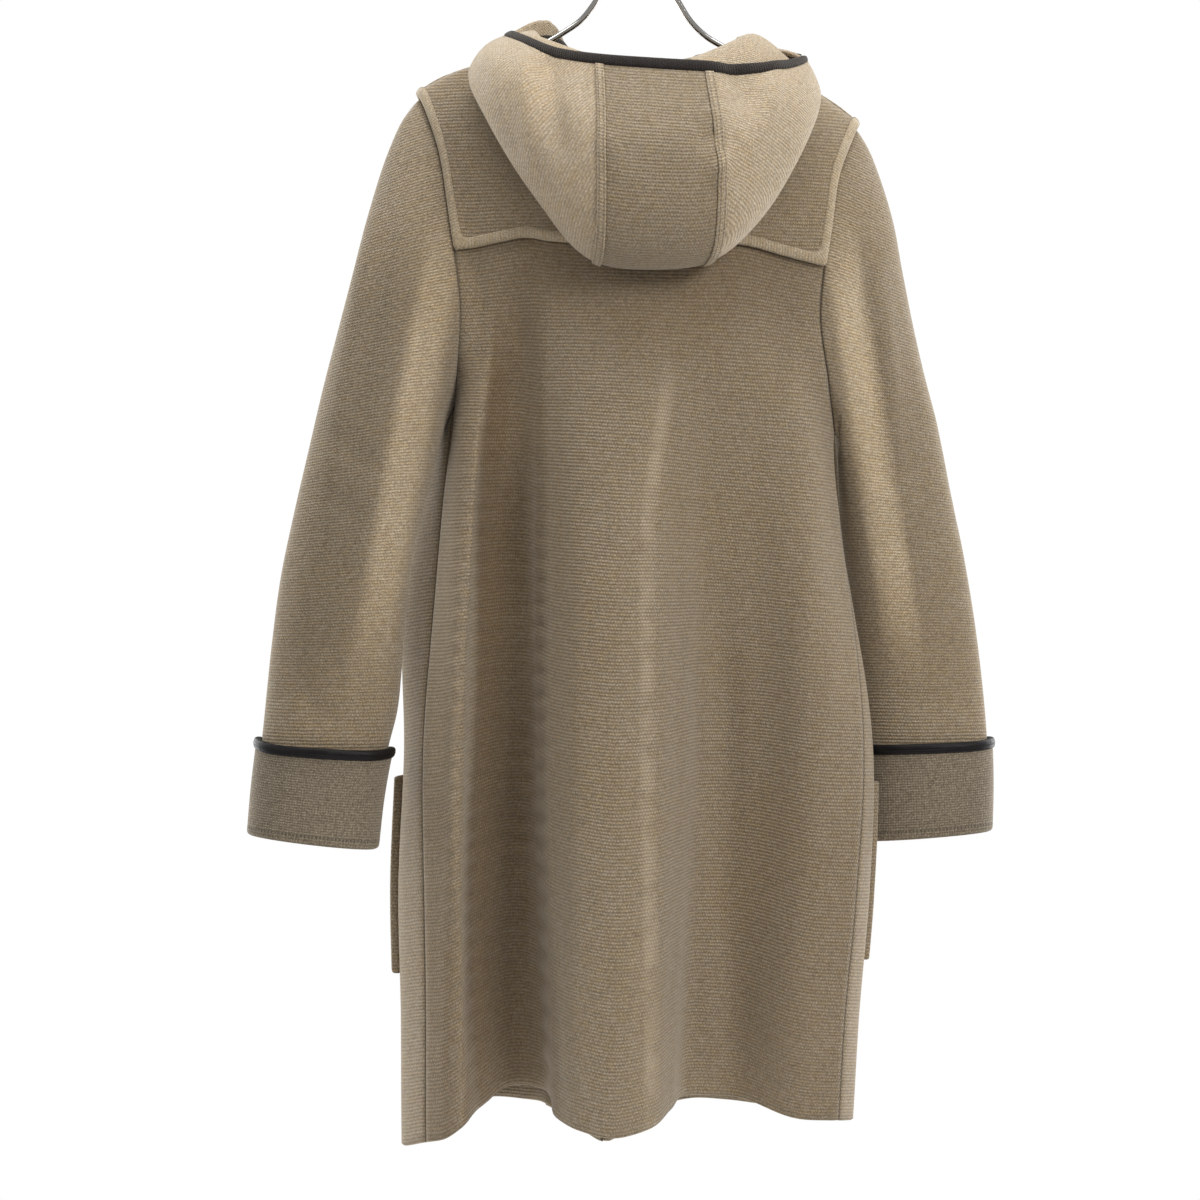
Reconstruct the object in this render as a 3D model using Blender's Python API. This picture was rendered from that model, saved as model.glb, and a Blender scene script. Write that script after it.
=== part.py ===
"""Hooded knit coat hanging on a wire hanger, seen from behind at azimuth 0.

The back of the coat faces -Y and +Z is up. The origin is the inside top of the hanger's hook. Every
place in the tables is (across, depth, drop) in millimetres: across is +X, depth is +Y and drop is the way
down from the origin. Each cloth piece is a wall made from a grid of points on its middle surface.
"""
import math

import bmesh
import bpy
import numpy as np

MM = 0.001

# Cloth and trims
CLOTH = 2.8            # double-knit wool
SEAM = 0.15            # each piece stops this far short of its seam
SLEEVE_SEAM = 0.35     # the same for a sleeve, whose seam bends sharply under the arm
SLACK = 0.6            # clear space between layers that lie on each other
TAPE = 1.0             # binding tape's thickness
TAPE_WIDTH = 8.0       # binding's width on each face of the cloth
YOKE_LIFT = CLOTH + 2 * SLACK + TAPE
LAP_LIFT = CLOTH + SLACK
CUFF_LIFT = CLOTH + 2 * SLACK + TAPE
CUFF_LIP = 3.0         # rolled lower end of a cuff
NECK_SET = 5.0         # yoke's neck edge stops this far below the neckline
POCKET_DEPTH = 7.0     # a patch pocket's turned edge
POCKET_SKIN = 3.4
POCKET_MIDDLE = 870.0  # row of the fronts that a pocket follows half way down

# Hanger
WIRE = 2.5             # wire's radius
HOOK_RADIUS = 19.0
FERRULE_RADIUS = 5.0
FERRULE_HEIGHT = 8.5
NECK_DROP = 50.0       # bend between the hanger's two arms

# Fineness
LINE_PARTS = 2         # grid lines for each line of the body tables
HOOD_PARTS = 2         # grid rows and lines for each of the hood's

# Control rows down the body, top edge to hem. The first nine run from the shoulder tips to the underarms.
# Columns: left and right edge of the back (across, depth, drop), left and right edge of the fronts
# (across, depth), how far the row's middle stands out past its edges, how far it has come to the chest's
# depths, and how far from the chest's depths to the hem's folds.
BODY_ROWS = (
    # back left          back right         front left     front right   out  chest  folds
    ((-185, 0, 190), (188, 0, 216), (-185, 0), (188, 0), 0, 0.00, 0.00),
    ((-183, -5, 194), (186, -5, 220), (-183, 5), (186, 5), 1, 0.00, 0.00),
    ((-178, -14, 207), (181, -14, 232), (-178, 12), (181, 12), 5, 0.00, 0.00),
    ((-167, -29, 241), (170, -29, 262), (-160, 27), (163, 27), 13, 0.00, 0.00),
    ((-159, -40, 290), (163, -40, 306), (-149, 38), (153, 38), 22, 0.20, 0.00),
    ((-154, -44, 326), (158, -44, 340), (-143, 42), (148, 42), 29, 0.40, 0.00),
    ((-149, -41, 370), (155, -41, 380), (-141, 40), (147, 40), 38, 0.65, 0.02),
    ((-152, -26, 417), (163, -26, 432), (-148, 26), (158, 26), 56, 0.88, 0.12),
    ((-156, 0, 453), (171, 0, 479), (-156, 0), (171, 0), 80, 1.00, 0.28),
    ((-164, -15, 531), (176, -8, 556), (-164, -15), (176, -8), 80, 1.00, 0.50),
    ((-172, -22, 620), (185, -16, 634), (-172, -22), (185, -16), 80, 1.00, 0.68),
    ((-181, -29, 745), (192, -34, 745), (-181, -29), (192, -34), 80, 1.00, 0.82),
    ((-181, -30, 870), (186, -42, 870), (-181, -30), (186, -42), 80, 1.00, 0.92),
    ((-179, -30, 980), (175, -45, 980), (-179, -30), (175, -45), 80, 1.00, 0.98),
    ((-178, -30, 1080), (170, -48, 1058), (-178, -30), (170, -48), 80, 1.00, 1.00),
)
UNDERARM = 8           # row of the underarms
SLOPED_ROWS = 2        # rows below this one turn from the shoulders' slope to level
YOKE_ROW = 5           # row of the yoke's lower edge

# Lines that run down the back from the top edge, with its folds: share of the row's width at the top,
# chest and hem, depth at the chest and at the hem, and the drop of the hem there
BACK_LINES = (
    # name               top    chest  hem    chest  hem   drop
    ("left edge",        0.000, 0.000, 0.000, 0,    -30,  1080),
    ("left lobe",        0.070, 0.050, 0.057, -34,  -48,  1072),
    ("lobe's edge",      0.130, 0.080, 0.092, -45,  -54,  1062),
    ("left wall",        0.190, 0.110, 0.135, -54,  -24,  1052),
    ("left hollow",      0.260, 0.165, 0.205, -63,  0,    1038),
    ("hollow's side",    0.325, 0.230, 0.276, -71,  -6,   1039),
    ("rising wall",      0.385, 0.290, 0.322, -76,  -58,  1054),
    ("crest, left",      0.430, 0.350, 0.372, -79,  -90,  1058),
    ("crest, middle",    0.480, 0.430, 0.454, -82,  -101, 1062),
    ("crest, ridge",     0.535, 0.508, 0.535, -83,  -96,  1056),
    ("falling wall",     0.590, 0.580, 0.588, -80,  -58,  1048),
    ("right hollow",     0.645, 0.650, 0.632, -76,  -16,  1043),
    ("hollow's end",     0.732, 0.760, 0.755, -66,  -14,  1045),
    ("right lobe",       0.870, 0.900, 0.905, -42,  -52,  1056),
    ("right edge",       1.000, 1.000, 1.000, 0,    -48,  1058),
)
BACK_NECK = (4, 12)    # lines that start at the neck's two sides

# Lines down the two fronts, from the left side seam round to the right one
FRONT_LINES = (
    # name               top    chest  hem    chest  hem   drop
    ("left edge",        0.000, 0.000, 0.000, 0,    -30,  1080),
    ("left outline",     0.058, 0.055, -0.066, 36,  15,   1091),
    ("left side",        0.105, 0.085, -0.030, 52,  58,   1082),
    ("left crest",       0.165, 0.110, 0.080, 68,   88,   1070),
    ("left trough",      0.260, 0.210, 0.180, 80,   46,   1056),
    ("trough's side",    0.340, 0.290, 0.230, 86,   48,   1058),
    ("outer front edge", 0.420, 0.350, 0.285, 89,   80,   1070),
    ("lap",              0.496, 0.433, 0.360, 91,   90,   1088),
    ("inner front edge", 0.571, 0.517, 0.434, 89,   80,   1102),
    ("right slope",      0.645, 0.600, 0.520, 86,   50,   1072),
    ("right trough",     0.732, 0.690, 0.620, 80,   50,   1060),
    ("right crest",      0.810, 0.780, 0.740, 70,   86,   1066),
    ("right front",      0.875, 0.862, 0.860, 60,   68,   1068),
    ("right side",       0.912, 0.910, 0.985, 48,   22,   1066),
    ("right outline",    0.950, 0.945, 1.038, 32,   -18,  1063),
    ("right edge",       1.000, 1.000, 1.000, 0,    -48,  1058),
)
FRONT_NECK = (4, 10)
FRONT_HASTE = (10, 3)  # how soon below the underarms the left side and the rest take their hem's share
LEFT_OUTLINE = (-158, -184, -200, -199)   # across, of the left outline from the underarm's row down
OUTER_EDGE = 6         # free edge of the right front, which laps over
INNER_EDGE = 8         # free edge of the left front, which lies under

# Shoulder seams and necklines: (across, depth, drop)
SHOULDER = (
    (-185, 0, 190), (-168, 0, 179), (-142, 0, 169), (-113, 0, 155), (-88, 0, 142),
)
SHOULDER_RIGHT = (
    (88, 0, 148), (120, 0, 168), (157, 0, 193), (172, 0, 203), (188, 0, 216),
)
BACK_NECKLINE = (
    (-88, 0, 142), (-76, -22, 153), (-60, -33, 162), (-36, -39, 170), (4, -42, 175),
    (42, -39, 171), (62, -33, 165), (78, -22, 157), (88, 0, 148),
)
FRONT_NECKLINE = (
    (-88, 0, 142), (-78, 24, 161), (-50, 44, 190), (-4, 60, 229), (4, 60, 230), (50, 44, 194),
    (80, 24, 167), (88, 0, 148),
)

# Sleeve rings below the armhole: outer edge and inner edge (across, depth, drop) and half the thickness
LEFT_SLEEVE = (
    # outer               inner               half
    ((-185, 0, 190), (-156, 0, 453), 44),
    ((-198, -6, 209), (-161, -5, 462), 44),
    ((-210, -10, 236), (-165, -9, 471), 43),
    ((-224, -14, 279), (-168, -13, 484), 42),
    ((-239, -18, 340), (-172.5, -19, 501), 41),
    ((-252, -20, 391), (-176.5, -24, 522), 40),
    ((-265, -22, 442), (-183, -28, 545), 39),
    ((-277, -24, 493), (-189, -30, 570), 38),
    ((-289, -25, 544), (-194, -30, 602), 37),
    ((-301, -25, 602), (-198, -30, 640), 36),
    ((-308, -25, 655), (-201, -30, 680), 35),
    ((-313, -25, 702), (-205, -28, 715), 34),
    ((-317, -25, 740), (-213, -25, 746), 33),
    ((-322, -25, 781), (-221, -25, 790), 32),
    ((-325, -25, 816), (-225, -25, 828), 32),
)
RIGHT_SLEEVE = (
    ((188, 0, 216), (171, 0, 479), 44),
    ((199, 4, 233), (177, 5, 485), 44),
    ((210, 9, 258), (179, 14, 494), 43),
    ((221, 14, 291), (177, 24, 505), 42),
    ((230, 20, 335), (176, 33, 520), 41),
    ((239, 25, 380), (177, 41, 542), 40),
    ((249, 30, 423), (177, 47, 565), 39),
    ((261, 34, 468), (181, 51, 592), 38),
    ((273, 38, 525), (184, 54, 625), 37),
    ((286, 42, 582), (187, 55, 655), 36),
    ((296, 45, 637), (190, 55, 684), 35),
    ((303, 48, 689), (193, 54, 710), 34),
    ((307, 48, 738), (196, 52, 742), 33),
    ((308, 48, 784), (199, 50, 793), 32),
    ((307, 48, 819), (199, 50, 828), 32),
)
CUFF_RING = 12         # ring that the cuff's upper edge stands at
ARMHOLE_FADE = (1.0, 0.8, 0.55, 0.3, 0.12, 0.03)

# Hood, as it hangs: stations from the left end of the neck seam round the back to the right end
HOOD = (
    # neck seam         stand             under side        fold              back              opening edge
    ((-4, 60, 226), (-5, 62, 223), (-6, 64, 220), (-6, 65, 217), (-7, 66, 213), (-8, 70, 194)),
    ((-50, 44, 187), (-51, 47, 180), (-52, 50, 173), (-53, 52, 166), (-53, 54, 159), (-52, 57, 138)),
    ((-78, 24, 156), (-82, 26, 149), (-88, 25, 144), (-92, 22, 139), (-92, 21, 132), (-78, 25, 119)),
    ((-85, 11, 142), (-90, 10, 134), (-104, 5, 137), (-113, -5, 143), (-112, -11, 139), (-95, -2, 129)),
    ((-88, -2, 134), (-97, -8, 136), (-121, -17, 152), (-137, -32, 171), (-131, -42, 158), (-104, -31, 140)),
    ((-77, -23, 148), (-84, -34, 145), (-104, -66, 190), (-121, -74, 226), (-117, -93, 186), (-92, -62, 151)),
    ((-60, -34, 159), (-64, -48, 155), (-80, -82, 232), (-84, -90, 287), (-80, -122, 226), (-66, -92, 167)),
    ((-36, -40, 167), (-37, -55, 165), (-36, -87, 262), (-33, -100, 343), (-29, -146, 262), (-31, -115, 177)),
    ((4, -43, 172), (5, -58, 171), (10, -91, 268), (14, -103, 349), (15, -152, 268), (12, -124, 182)),
    ((42, -40, 168), (44, -55, 168), (50, -87, 262), (57, -100, 343), (66, -146, 265), (56, -123, 184)),
    ((62, -34, 162), (68, -48, 158), (92, -82, 245), (103, -90, 303), (104, -124, 240), (92, -104, 182)),
    ((79, -23, 152), (88, -33, 146), (114, -66, 205), (132, -76, 250), (131, -97, 206), (118, -82, 176)),
    ((88, -2, 139), (97, -7, 138), (128, -18, 159), (148, -42, 193), (144, -55, 174), (139, -45, 164)),
    ((80, 24, 162), (85, 26, 155), (96, 24, 152), (105, 19, 151), (108, 18, 146), (96, 25, 134)),
    ((50, 44, 191), (51, 47, 184), (52, 50, 177), (53, 52, 170), (54, 54, 162), (55, 58, 141)),
    ((4, 62, 228), (5, 64, 225), (6, 66, 222), (6, 67, 219), (7, 69, 215), (8, 73, 197)),
)
LEFT_HOOD_SEAM = 7
RIGHT_HOOD_SEAM = 9

# Hanger wire's two arms: across and drop, from the neck outwards
LEFT_ARM = (
    (-7, 54), (-13, 64), (-25, 88), (-38, 111), (-47, 122), (-64, 134), (-88, 147.8), (-113, 160.8),
    (-142, 174.8), (-160, 182.6),
)
RIGHT_ARM = (
    (7, 54), (13, 64), (26, 88), (39, 111), (44.5, 120), (52, 129), (62, 137.6), (76, 146), (88, 154.4),
    (120, 174.4), (157, 199.6), (166, 206.2),
)

# Patch pockets: lines and drops that they reach between
POCKETS = {
    "left": {"lines": (1.15, 3.9), "drops": (776, 944)},
    "right": {"lines": (13.75, 11.1), "drops": (778, 928)},
}

# Toggle fastenings
TOGGLE_DROPS = (268, 394, 520, 646)
TOGGLE_LENGTH = 46.0
TOGGLE_RADIUS = 6.0
TOGGLE_ACROSS = 14.0   # toggle's middle, from the outer free edge
TOGGLE_PROFILE = (     # share of the radius and place along the toggle
    (0.55, -0.5), (0.8, -0.44), (0.95, -0.2), (1.0, 0.0), (0.95, 0.2), (0.8, 0.44), (0.55, 0.5),
)
PATCH_LENGTH = 31.0
PATCH_HEIGHT = 26.0
PATCH_SKIN = 2.0
LOOP_PATCH = 26.0      # start of the loop's patch, from the outer free edge
TOGGLE_PATCH = -43.0   # start of the toggle's patch
CORD = 2.0             # leather cord's radius
CORD_SPREAD = 4.5      # half the distance between a cord's two legs
CORD_START = 5.0       # the cord's end lies this far in on its patch
CLEAR = 0.7            # space between cords and what they lie on
LAP_RUN = 18.0         # the cord climbs the lap's edge over this distance

COLOURS = {
    # name        colour                 roughness  metallic
    "knit":      ((0.24, 0.19, 0.125), 0.95, 0.0),
    "yoke":      ((0.21, 0.165, 0.105), 0.95, 0.0),
    "hood":      ((0.28, 0.22, 0.155), 0.95, 0.0),
    "cuff":      ((0.20, 0.16, 0.11), 0.95, 0.0),
    "tape":      ((0.33, 0.27, 0.19), 0.95, 0.0),
    "leather":   ((0.012, 0.010, 0.010), 0.38, 0.0),
    "horn":      ((0.045, 0.026, 0.016), 0.35, 0.0),
    "chrome":    ((0.72, 0.72, 0.74), 0.12, 1.0),
}


def clear_scene():
    """Start from an empty scene."""
    for old in list(bpy.data.objects):
        bpy.data.objects.remove(old)


def finish_material(name):
    """Give the named finish as one shared Principled material."""
    if name in bpy.data.materials:
        return bpy.data.materials[name]
    colour, roughness, metallic = COLOURS[name]
    material = bpy.data.materials.new(name)
    material.use_nodes = True
    shader = material.node_tree.nodes["Principled BSDF"]
    shader.inputs["Base Color"].default_value = (*colour, 1.0)
    shader.inputs["Roughness"].default_value = roughness
    shader.inputs["Metallic"].default_value = metallic
    return material


def add_piece(name, points, faces, finish):
    """Make one closed object from points in millimetres (across, depth, drop)."""
    places = [(x * MM, y * MM, -drop * MM) for x, y, drop in points]
    mesh = bpy.data.meshes.new(name)
    mesh.from_pydata(places, [], faces)
    shape = bmesh.new()
    shape.from_mesh(mesh)
    bmesh.ops.recalc_face_normals(shape, faces=shape.faces)
    if shape.calc_volume(signed=True) < 0:
        bmesh.ops.reverse_faces(shape, faces=shape.faces)
    shape.to_mesh(mesh)
    shape.free()
    mesh.shade_smooth()
    mesh.set_sharp_from_angle(angle=math.radians(50))
    mesh.materials.append(finish_material(finish))
    piece = bpy.data.objects.new(name, mesh)
    bpy.context.collection.objects.link(piece)
    return piece


def unit(vectors):
    """Scale each vector to length 1."""
    return vectors / np.maximum(np.linalg.norm(vectors, axis=-1, keepdims=True), 1e-9)


def smooth(points, parts):
    """Pass a smooth curve through points (first axis) and give `parts` steps for each interval."""
    points = np.asarray(points, float)
    count = len(points)
    step = np.linalg.norm(np.diff(points, axis=0), axis=-1, keepdims=True)
    step = np.maximum(step, 1e-6)
    slope = np.diff(points, axis=0) / step
    tangent = np.empty_like(points)
    tangent[1:-1] = (step[1:] * slope[:-1] + step[:-1] * slope[1:]) / (step[1:] + step[:-1])
    tangent[0] = slope[0]
    tangent[-1] = slope[-1]
    result = []
    for i in range(count - 1):
        for j in range(parts):
            t = j / parts
            result.append((2 * t**3 - 3 * t**2 + 1) * points[i] + (t**3 - 2 * t**2 + t) * step[i] * tangent[i]
                          + (3 * t**2 - 2 * t**3) * points[i + 1] + (t**3 - t**2) * step[i] * tangent[i + 1])
    result.append(points[-1])
    return np.array(result)


def smooth_grid(net, row_parts, line_parts, corners=()):
    """Pass a smooth surface through a net of points whose top edge may turn sharply at some lines."""
    rows = smooth(net, row_parts)
    grid = smooth(rows.transpose(1, 0, 2), line_parts).transpose(1, 0, 2)
    stops = (0, *corners, net.shape[1] - 1)
    if corners:
        stretches = [smooth(net[0, a:b + 1], line_parts) for a, b in zip(stops, stops[1:])]
        grid[0] = np.concatenate([stretches[0]] + [stretch[1:] for stretch in stretches[1:]])
    return grid


def normals(grid, closed=False):
    """Give each grid point's outward direction, for rows that run downwards and lines that run to +X."""
    down = np.gradient(grid, axis=0)
    if closed:
        along = np.roll(grid, -1, axis=1) - np.roll(grid, 1, axis=1)
    else:
        along = np.gradient(grid, axis=1)
    return unit(np.cross(along, down))


def part_way(start, end, distance):
    """Go a distance from each start point towards its end point; also give the share of the way."""
    share = distance / np.linalg.norm(end - start, axis=-1, keepdims=True)
    return start + (end - start) * share, share


def inset(grid, amounts):
    """Pull a grid's edges in along its own lines: amounts for its top, bottom, first and last edge."""
    top, bottom, first, last = amounts
    grid = grid.copy()
    grid[:, 0] = part_way(grid[:, 0], grid[:, 1], first)[0]
    grid[:, -1] = part_way(grid[:, -1], grid[:, -2], last)[0]
    grid[0] = part_way(grid[0], grid[1], np.reshape(top, (-1, 1)))[0]
    grid[-1] = part_way(grid[-1], grid[-2], bottom)[0]
    return grid


def add_margins(grid):
    """Add a line a tape's width in from each side of the body and one as far above the yoke's lower edge."""
    first = part_way(grid[:, 0], grid[:, 1], TAPE_WIDTH)[0][:, None]
    last = part_way(grid[:, -1], grid[:, -2], TAPE_WIDTH)[0][:, None]
    grid = np.concatenate([grid[:, :1], first, grid[:, 1:-1], last, grid[:, -1:]], axis=1)
    margin = part_way(grid[YOKE_ROW], grid[YOKE_ROW - 1], TAPE_WIDTH)[0][None]
    return np.concatenate([grid[:YOKE_ROW], margin, grid[YOKE_ROW:]])


def fine(line):
    """Give the body grids' line for a line of the tables."""
    return line * LINE_PARTS + 1


def end_faces(points, a, b, layer):
    """Close a wall's edge between two outer points. Both walls of a seam split this face the same way."""
    high, low = (a, b) if points[a][2] < points[b][2] else (b, a)
    return [(high, low, layer + low), (high, layer + low, layer + high)]


def wall(name, outer, inner, finish, closed=False):
    """Join an outer and an inner grid into one closed wall, open or closed round its rows.

    Every patch is split from its upper left to its lower right corner, so layers keep their distance.
    """
    rows, lines = outer.shape[:2]
    points = [*outer.reshape(-1, 3), *inner.reshape(-1, 3)]
    layer = rows * lines
    turns = lines if closed else lines - 1
    faces = []
    for r in range(rows - 1):
        for c in range(turns):
            d = (c + 1) % lines
            a, b, low_a, low_b = r * lines + c, r * lines + d, (r + 1) * lines + c, (r + 1) * lines + d
            faces += [(a, b, low_b), (a, low_b, low_a)]
            faces += [(layer + low_b, layer + b, layer + a), (layer + low_a, layer + low_b, layer + a)]
    for r in (0, rows - 1):
        for c in range(turns):
            d = (c + 1) % lines
            faces += end_faces(points, r * lines + c, r * lines + d, layer)
    if not closed:
        for r in range(rows - 1):
            for c in (0, lines - 1):
                faces += end_faces(points, r * lines + c, (r + 1) * lines + c, layer)
    return add_piece(name, points, faces, finish)


def cloth(name, grid, outward, finish, lift=0.0, thick=CLOTH, closed=False):
    """Make a cloth wall round a middle surface that is moved out by `lift`."""
    outer, inner = grid + outward * (lift + thick / 2), grid + outward * (lift - thick / 2)
    return wall(name, outer, inner, finish, closed)


def edge_path(grid, outward, sides):
    """Give the edge points of a grid, in order, with the next points inwards and both outward directions.

    Also gives how far in each tape end goes, and whether the stretch after a point follows the lower edge.
    """
    rows, lines = grid.shape[:2]
    spots = []
    if "first" in sides:
        spots += [((r, 0), (r, 1)) for r in range(rows)]
    if "bottom" in sides:
        spots += [((rows - 1, c), (rows - 2, c)) for c in range(lines)]
    if "last" in sides:
        spots += [((r, lines - 1), (r, lines - 2)) for r in reversed(range(rows))]
    if "top" in sides:
        spots += [((0, c), (1, c)) for c in range(lines)]
    path = []
    for edge, inner in spots:
        if path and path[-1][0] == edge:
            corner = (edge[0] - 1, path[-1][1][1]) if edge[0] else (1, inner[1])
            if edge[1] in (0, lines - 1) and len(sides) > 1:
                corner = (rows - 2, 1 if edge[1] == 0 else lines - 2)
            path[-1] = (edge, corner, math.sqrt(2))
        else:
            path.append((edge, inner, 1.0))
    edge_points = np.array([grid[e] for e, _, _ in path])
    inner_points = np.array([grid[i] for _, i, _ in path])
    edge_out = np.array([outward[e] for e, _, _ in path])
    inner_out = np.array([outward[i] for _, i, _ in path])
    lower = [a[0][0] == rows - 1 and b[0][0] == rows - 1 for a, b in zip(path, path[1:] + path[:1])]
    return edge_points, inner_points, edge_out, inner_out, np.array([[m] for _, _, m in path]), lower


def binding(name, path, finish, lift=0.0, closed=False):
    """Fold a tape round a cloth edge: a U-shaped strip that follows the edge with slack all round."""
    edge, inner, edge_out, inner_out, miter, lower = path
    near = CLOTH / 2 + SLACK
    far = near + TAPE
    profile = (
        (TAPE_WIDTH, far), (0, far), (-0.35 * TAPE, 0.6 * far), (-0.35 * TAPE, -0.6 * far), (0, -far),
        (TAPE_WIDTH, -far), (TAPE_WIDTH, -near), (TAPE, -near), (TAPE, near), (TAPE_WIDTH, near),
    )
    loops = []
    for inwards, height in profile:
        places, share = part_way(edge, inner, inwards * miter)
        loops.append(places + unit(edge_out + (inner_out - edge_out) * share) * (lift + height))
    loops = np.array(loops).transpose(1, 0, 2)
    count, sides = loops.shape[:2]
    faces = []
    for i in range(count if closed else count - 1):
        k = (i + 1) % count
        for j in range(sides):
            m = (j + 1) % sides
            a, b, next_a, next_b = i * sides + j, i * sides + m, k * sides + j, k * sides + m
            if lower[i] == (profile[j][0] > profile[m][0]):
                faces += [(a, b, next_b), (a, next_b, next_a)]
            else:
                faces += [(a, b, next_a), (b, next_b, next_a)]
    if not closed:
        for i, flip in ((0, False), (count - 1, True)):
            ring = [i * sides + j for j in range(sides)]
            quads = [(0, 1, 8, 9), (1, 2, 3, 4, 7, 8), (4, 5, 6, 7)]
            for quad in quads:
                face = [ring[j] for j in quad]
                faces.append(tuple(reversed(face)) if not flip else tuple(face))
    return add_piece(name, loops.reshape(-1, 3), faces, finish)


def rod(name, path, radius, sides, finish, closed=False, level=(0, 1, 0)):
    """Sweep a round bar along a path; `level` is a direction that the path stays square to or near."""
    path = np.asarray(path, float)
    if closed:
        ahead = np.roll(path, -1, axis=0) - np.roll(path, 1, axis=0)
    else:
        ahead = np.gradient(path, axis=0)
    ahead = unit(ahead)
    side = unit(np.cross(ahead, np.broadcast_to(np.asarray(level, float), ahead.shape)))
    up = np.cross(side, ahead)
    radii = np.broadcast_to(radius, (len(path),))
    points = []
    for i in range(len(path)):
        for j in range(sides):
            angle = 2 * math.pi * j / sides
            points.append(path[i] + radii[i] * (math.cos(angle) * side[i] + math.sin(angle) * up[i]))
    faces = []
    count = len(path)
    for i in range(count if closed else count - 1):
        k = (i + 1) % count
        for j in range(sides):
            m = (j + 1) % sides
            faces.append((i * sides + j, i * sides + m, k * sides + m, k * sides + j))
    if not closed:
        faces.append(tuple(reversed(range(sides))))
        faces.append(tuple((count - 1) * sides + j for j in range(sides)))
    return add_piece(name, points, faces, finish)


def read_edge(table, across):
    """Read a seam table at the places across."""
    table = smooth(table, 6)
    return np.stack([across, np.interp(across, table[:, 0], table[:, 1]),
                     np.interp(across, table[:, 0], table[:, 2])], axis=-1)


def top_edge(lines, neck, neckline):
    """Give the top point of each line, on a shoulder seam or on the neckline between them."""
    left, right = SHOULDER[0][0], SHOULDER_RIGHT[-1][0]
    across = np.array([left + (right - left) * line[1] for line in lines])
    points = np.zeros((len(lines), 3))
    first, last = neck
    across[first], across[last] = neckline[0][0], neckline[-1][0]
    points[:first + 1] = read_edge(SHOULDER, across[:first + 1])
    points[last:] = read_edge(SHOULDER_RIGHT, across[last:])
    points[first + 1:last] = read_edge(neckline, across[first + 1:last])
    return points


def body_net(lines, neck, neckline, front):
    """Work out the control net of the back or the fronts, with a row for each body row."""
    top = top_edge(lines, neck, neckline)
    top_share, chest_share, hem_share, chest_depth, hem_depth, hem_drop = (
        np.array([line[k] for line in lines], float) for k in range(1, 7))
    net = np.zeros((len(BODY_ROWS), len(lines), 3))
    tip_left, tip_right = BODY_ROWS[0][0][2], BODY_ROWS[0][1][2]
    arm_left, arm_right = BODY_ROWS[UNDERARM][0][2], BODY_ROWS[UNDERARM][1][2]
    last_left, last_right = BODY_ROWS[-1][0][2], BODY_ROWS[-1][1][2]
    chest_drop = arm_left + (arm_right - arm_left) * chest_share
    for r, (left, right, front_left, front_right, bulge, chest, folds) in enumerate(BODY_ROWS):
        if front:
            left, right = (*front_left, left[2]), (*front_right, right[2])
        if r <= UNDERARM:
            blend = r / UNDERARM
            share = top_share + (chest_share - top_share) * blend
            way_left = (left[2] - tip_left) / (arm_left - tip_left)
            way_right = (right[2] - tip_right) / (arm_right - tip_right)
            way = way_left + (way_right - way_left) * share
            drop = top[:, 2] + (chest_drop - top[:, 2]) * way
            level = max(0.0, (r - SLOPED_ROWS) / (UNDERARM - SLOPED_ROWS))
            drop += (left[2] + (right[2] - left[2]) * share - drop) * (3 * level**2 - 2 * level**3) ** 0.7
            stand = (bulge if front else -bulge) * (1 - np.abs(2 * share - 1) ** 2.4)
            upper = left[1] + (right[1] - left[1]) * share + stand + top[:, 1] * (1 - way) ** 3
            smooth_depth = upper + (chest_depth - upper) * chest
        else:
            way_left = (left[2] - arm_left) / (last_left - arm_left)
            way_right = (right[2] - arm_right) / (last_right - arm_right)
            haste = np.interp(chest_share, (0, 0.2), FRONT_HASTE) if front else 1
            turn = 1 - (1 - way_left) ** haste
            share = chest_share + (hem_share - chest_share) * turn
            way = way_left + (way_right - way_left) * share
            drop = chest_drop + (hem_drop - chest_drop) * way
            smooth_depth = chest_depth
        net[r, :, 0] = left[0] + (right[0] - left[0]) * share
        net[r, :, 1] = smooth_depth + (hem_depth - smooth_depth) * folds
        net[r, :, 2] = drop
        net[r, 0] = left
        net[r, -1] = right
    if front:
        net[UNDERARM:UNDERARM + len(LEFT_OUTLINE), 1, 0] = LEFT_OUTLINE
    net[0] = top
    return net


def armhole_ring(back_edge, front_edge):
    """Close an armhole: down its back edge from the shoulder tip and up its front edge."""
    return np.concatenate([back_edge, front_edge[-2:0:-1]])


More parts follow.
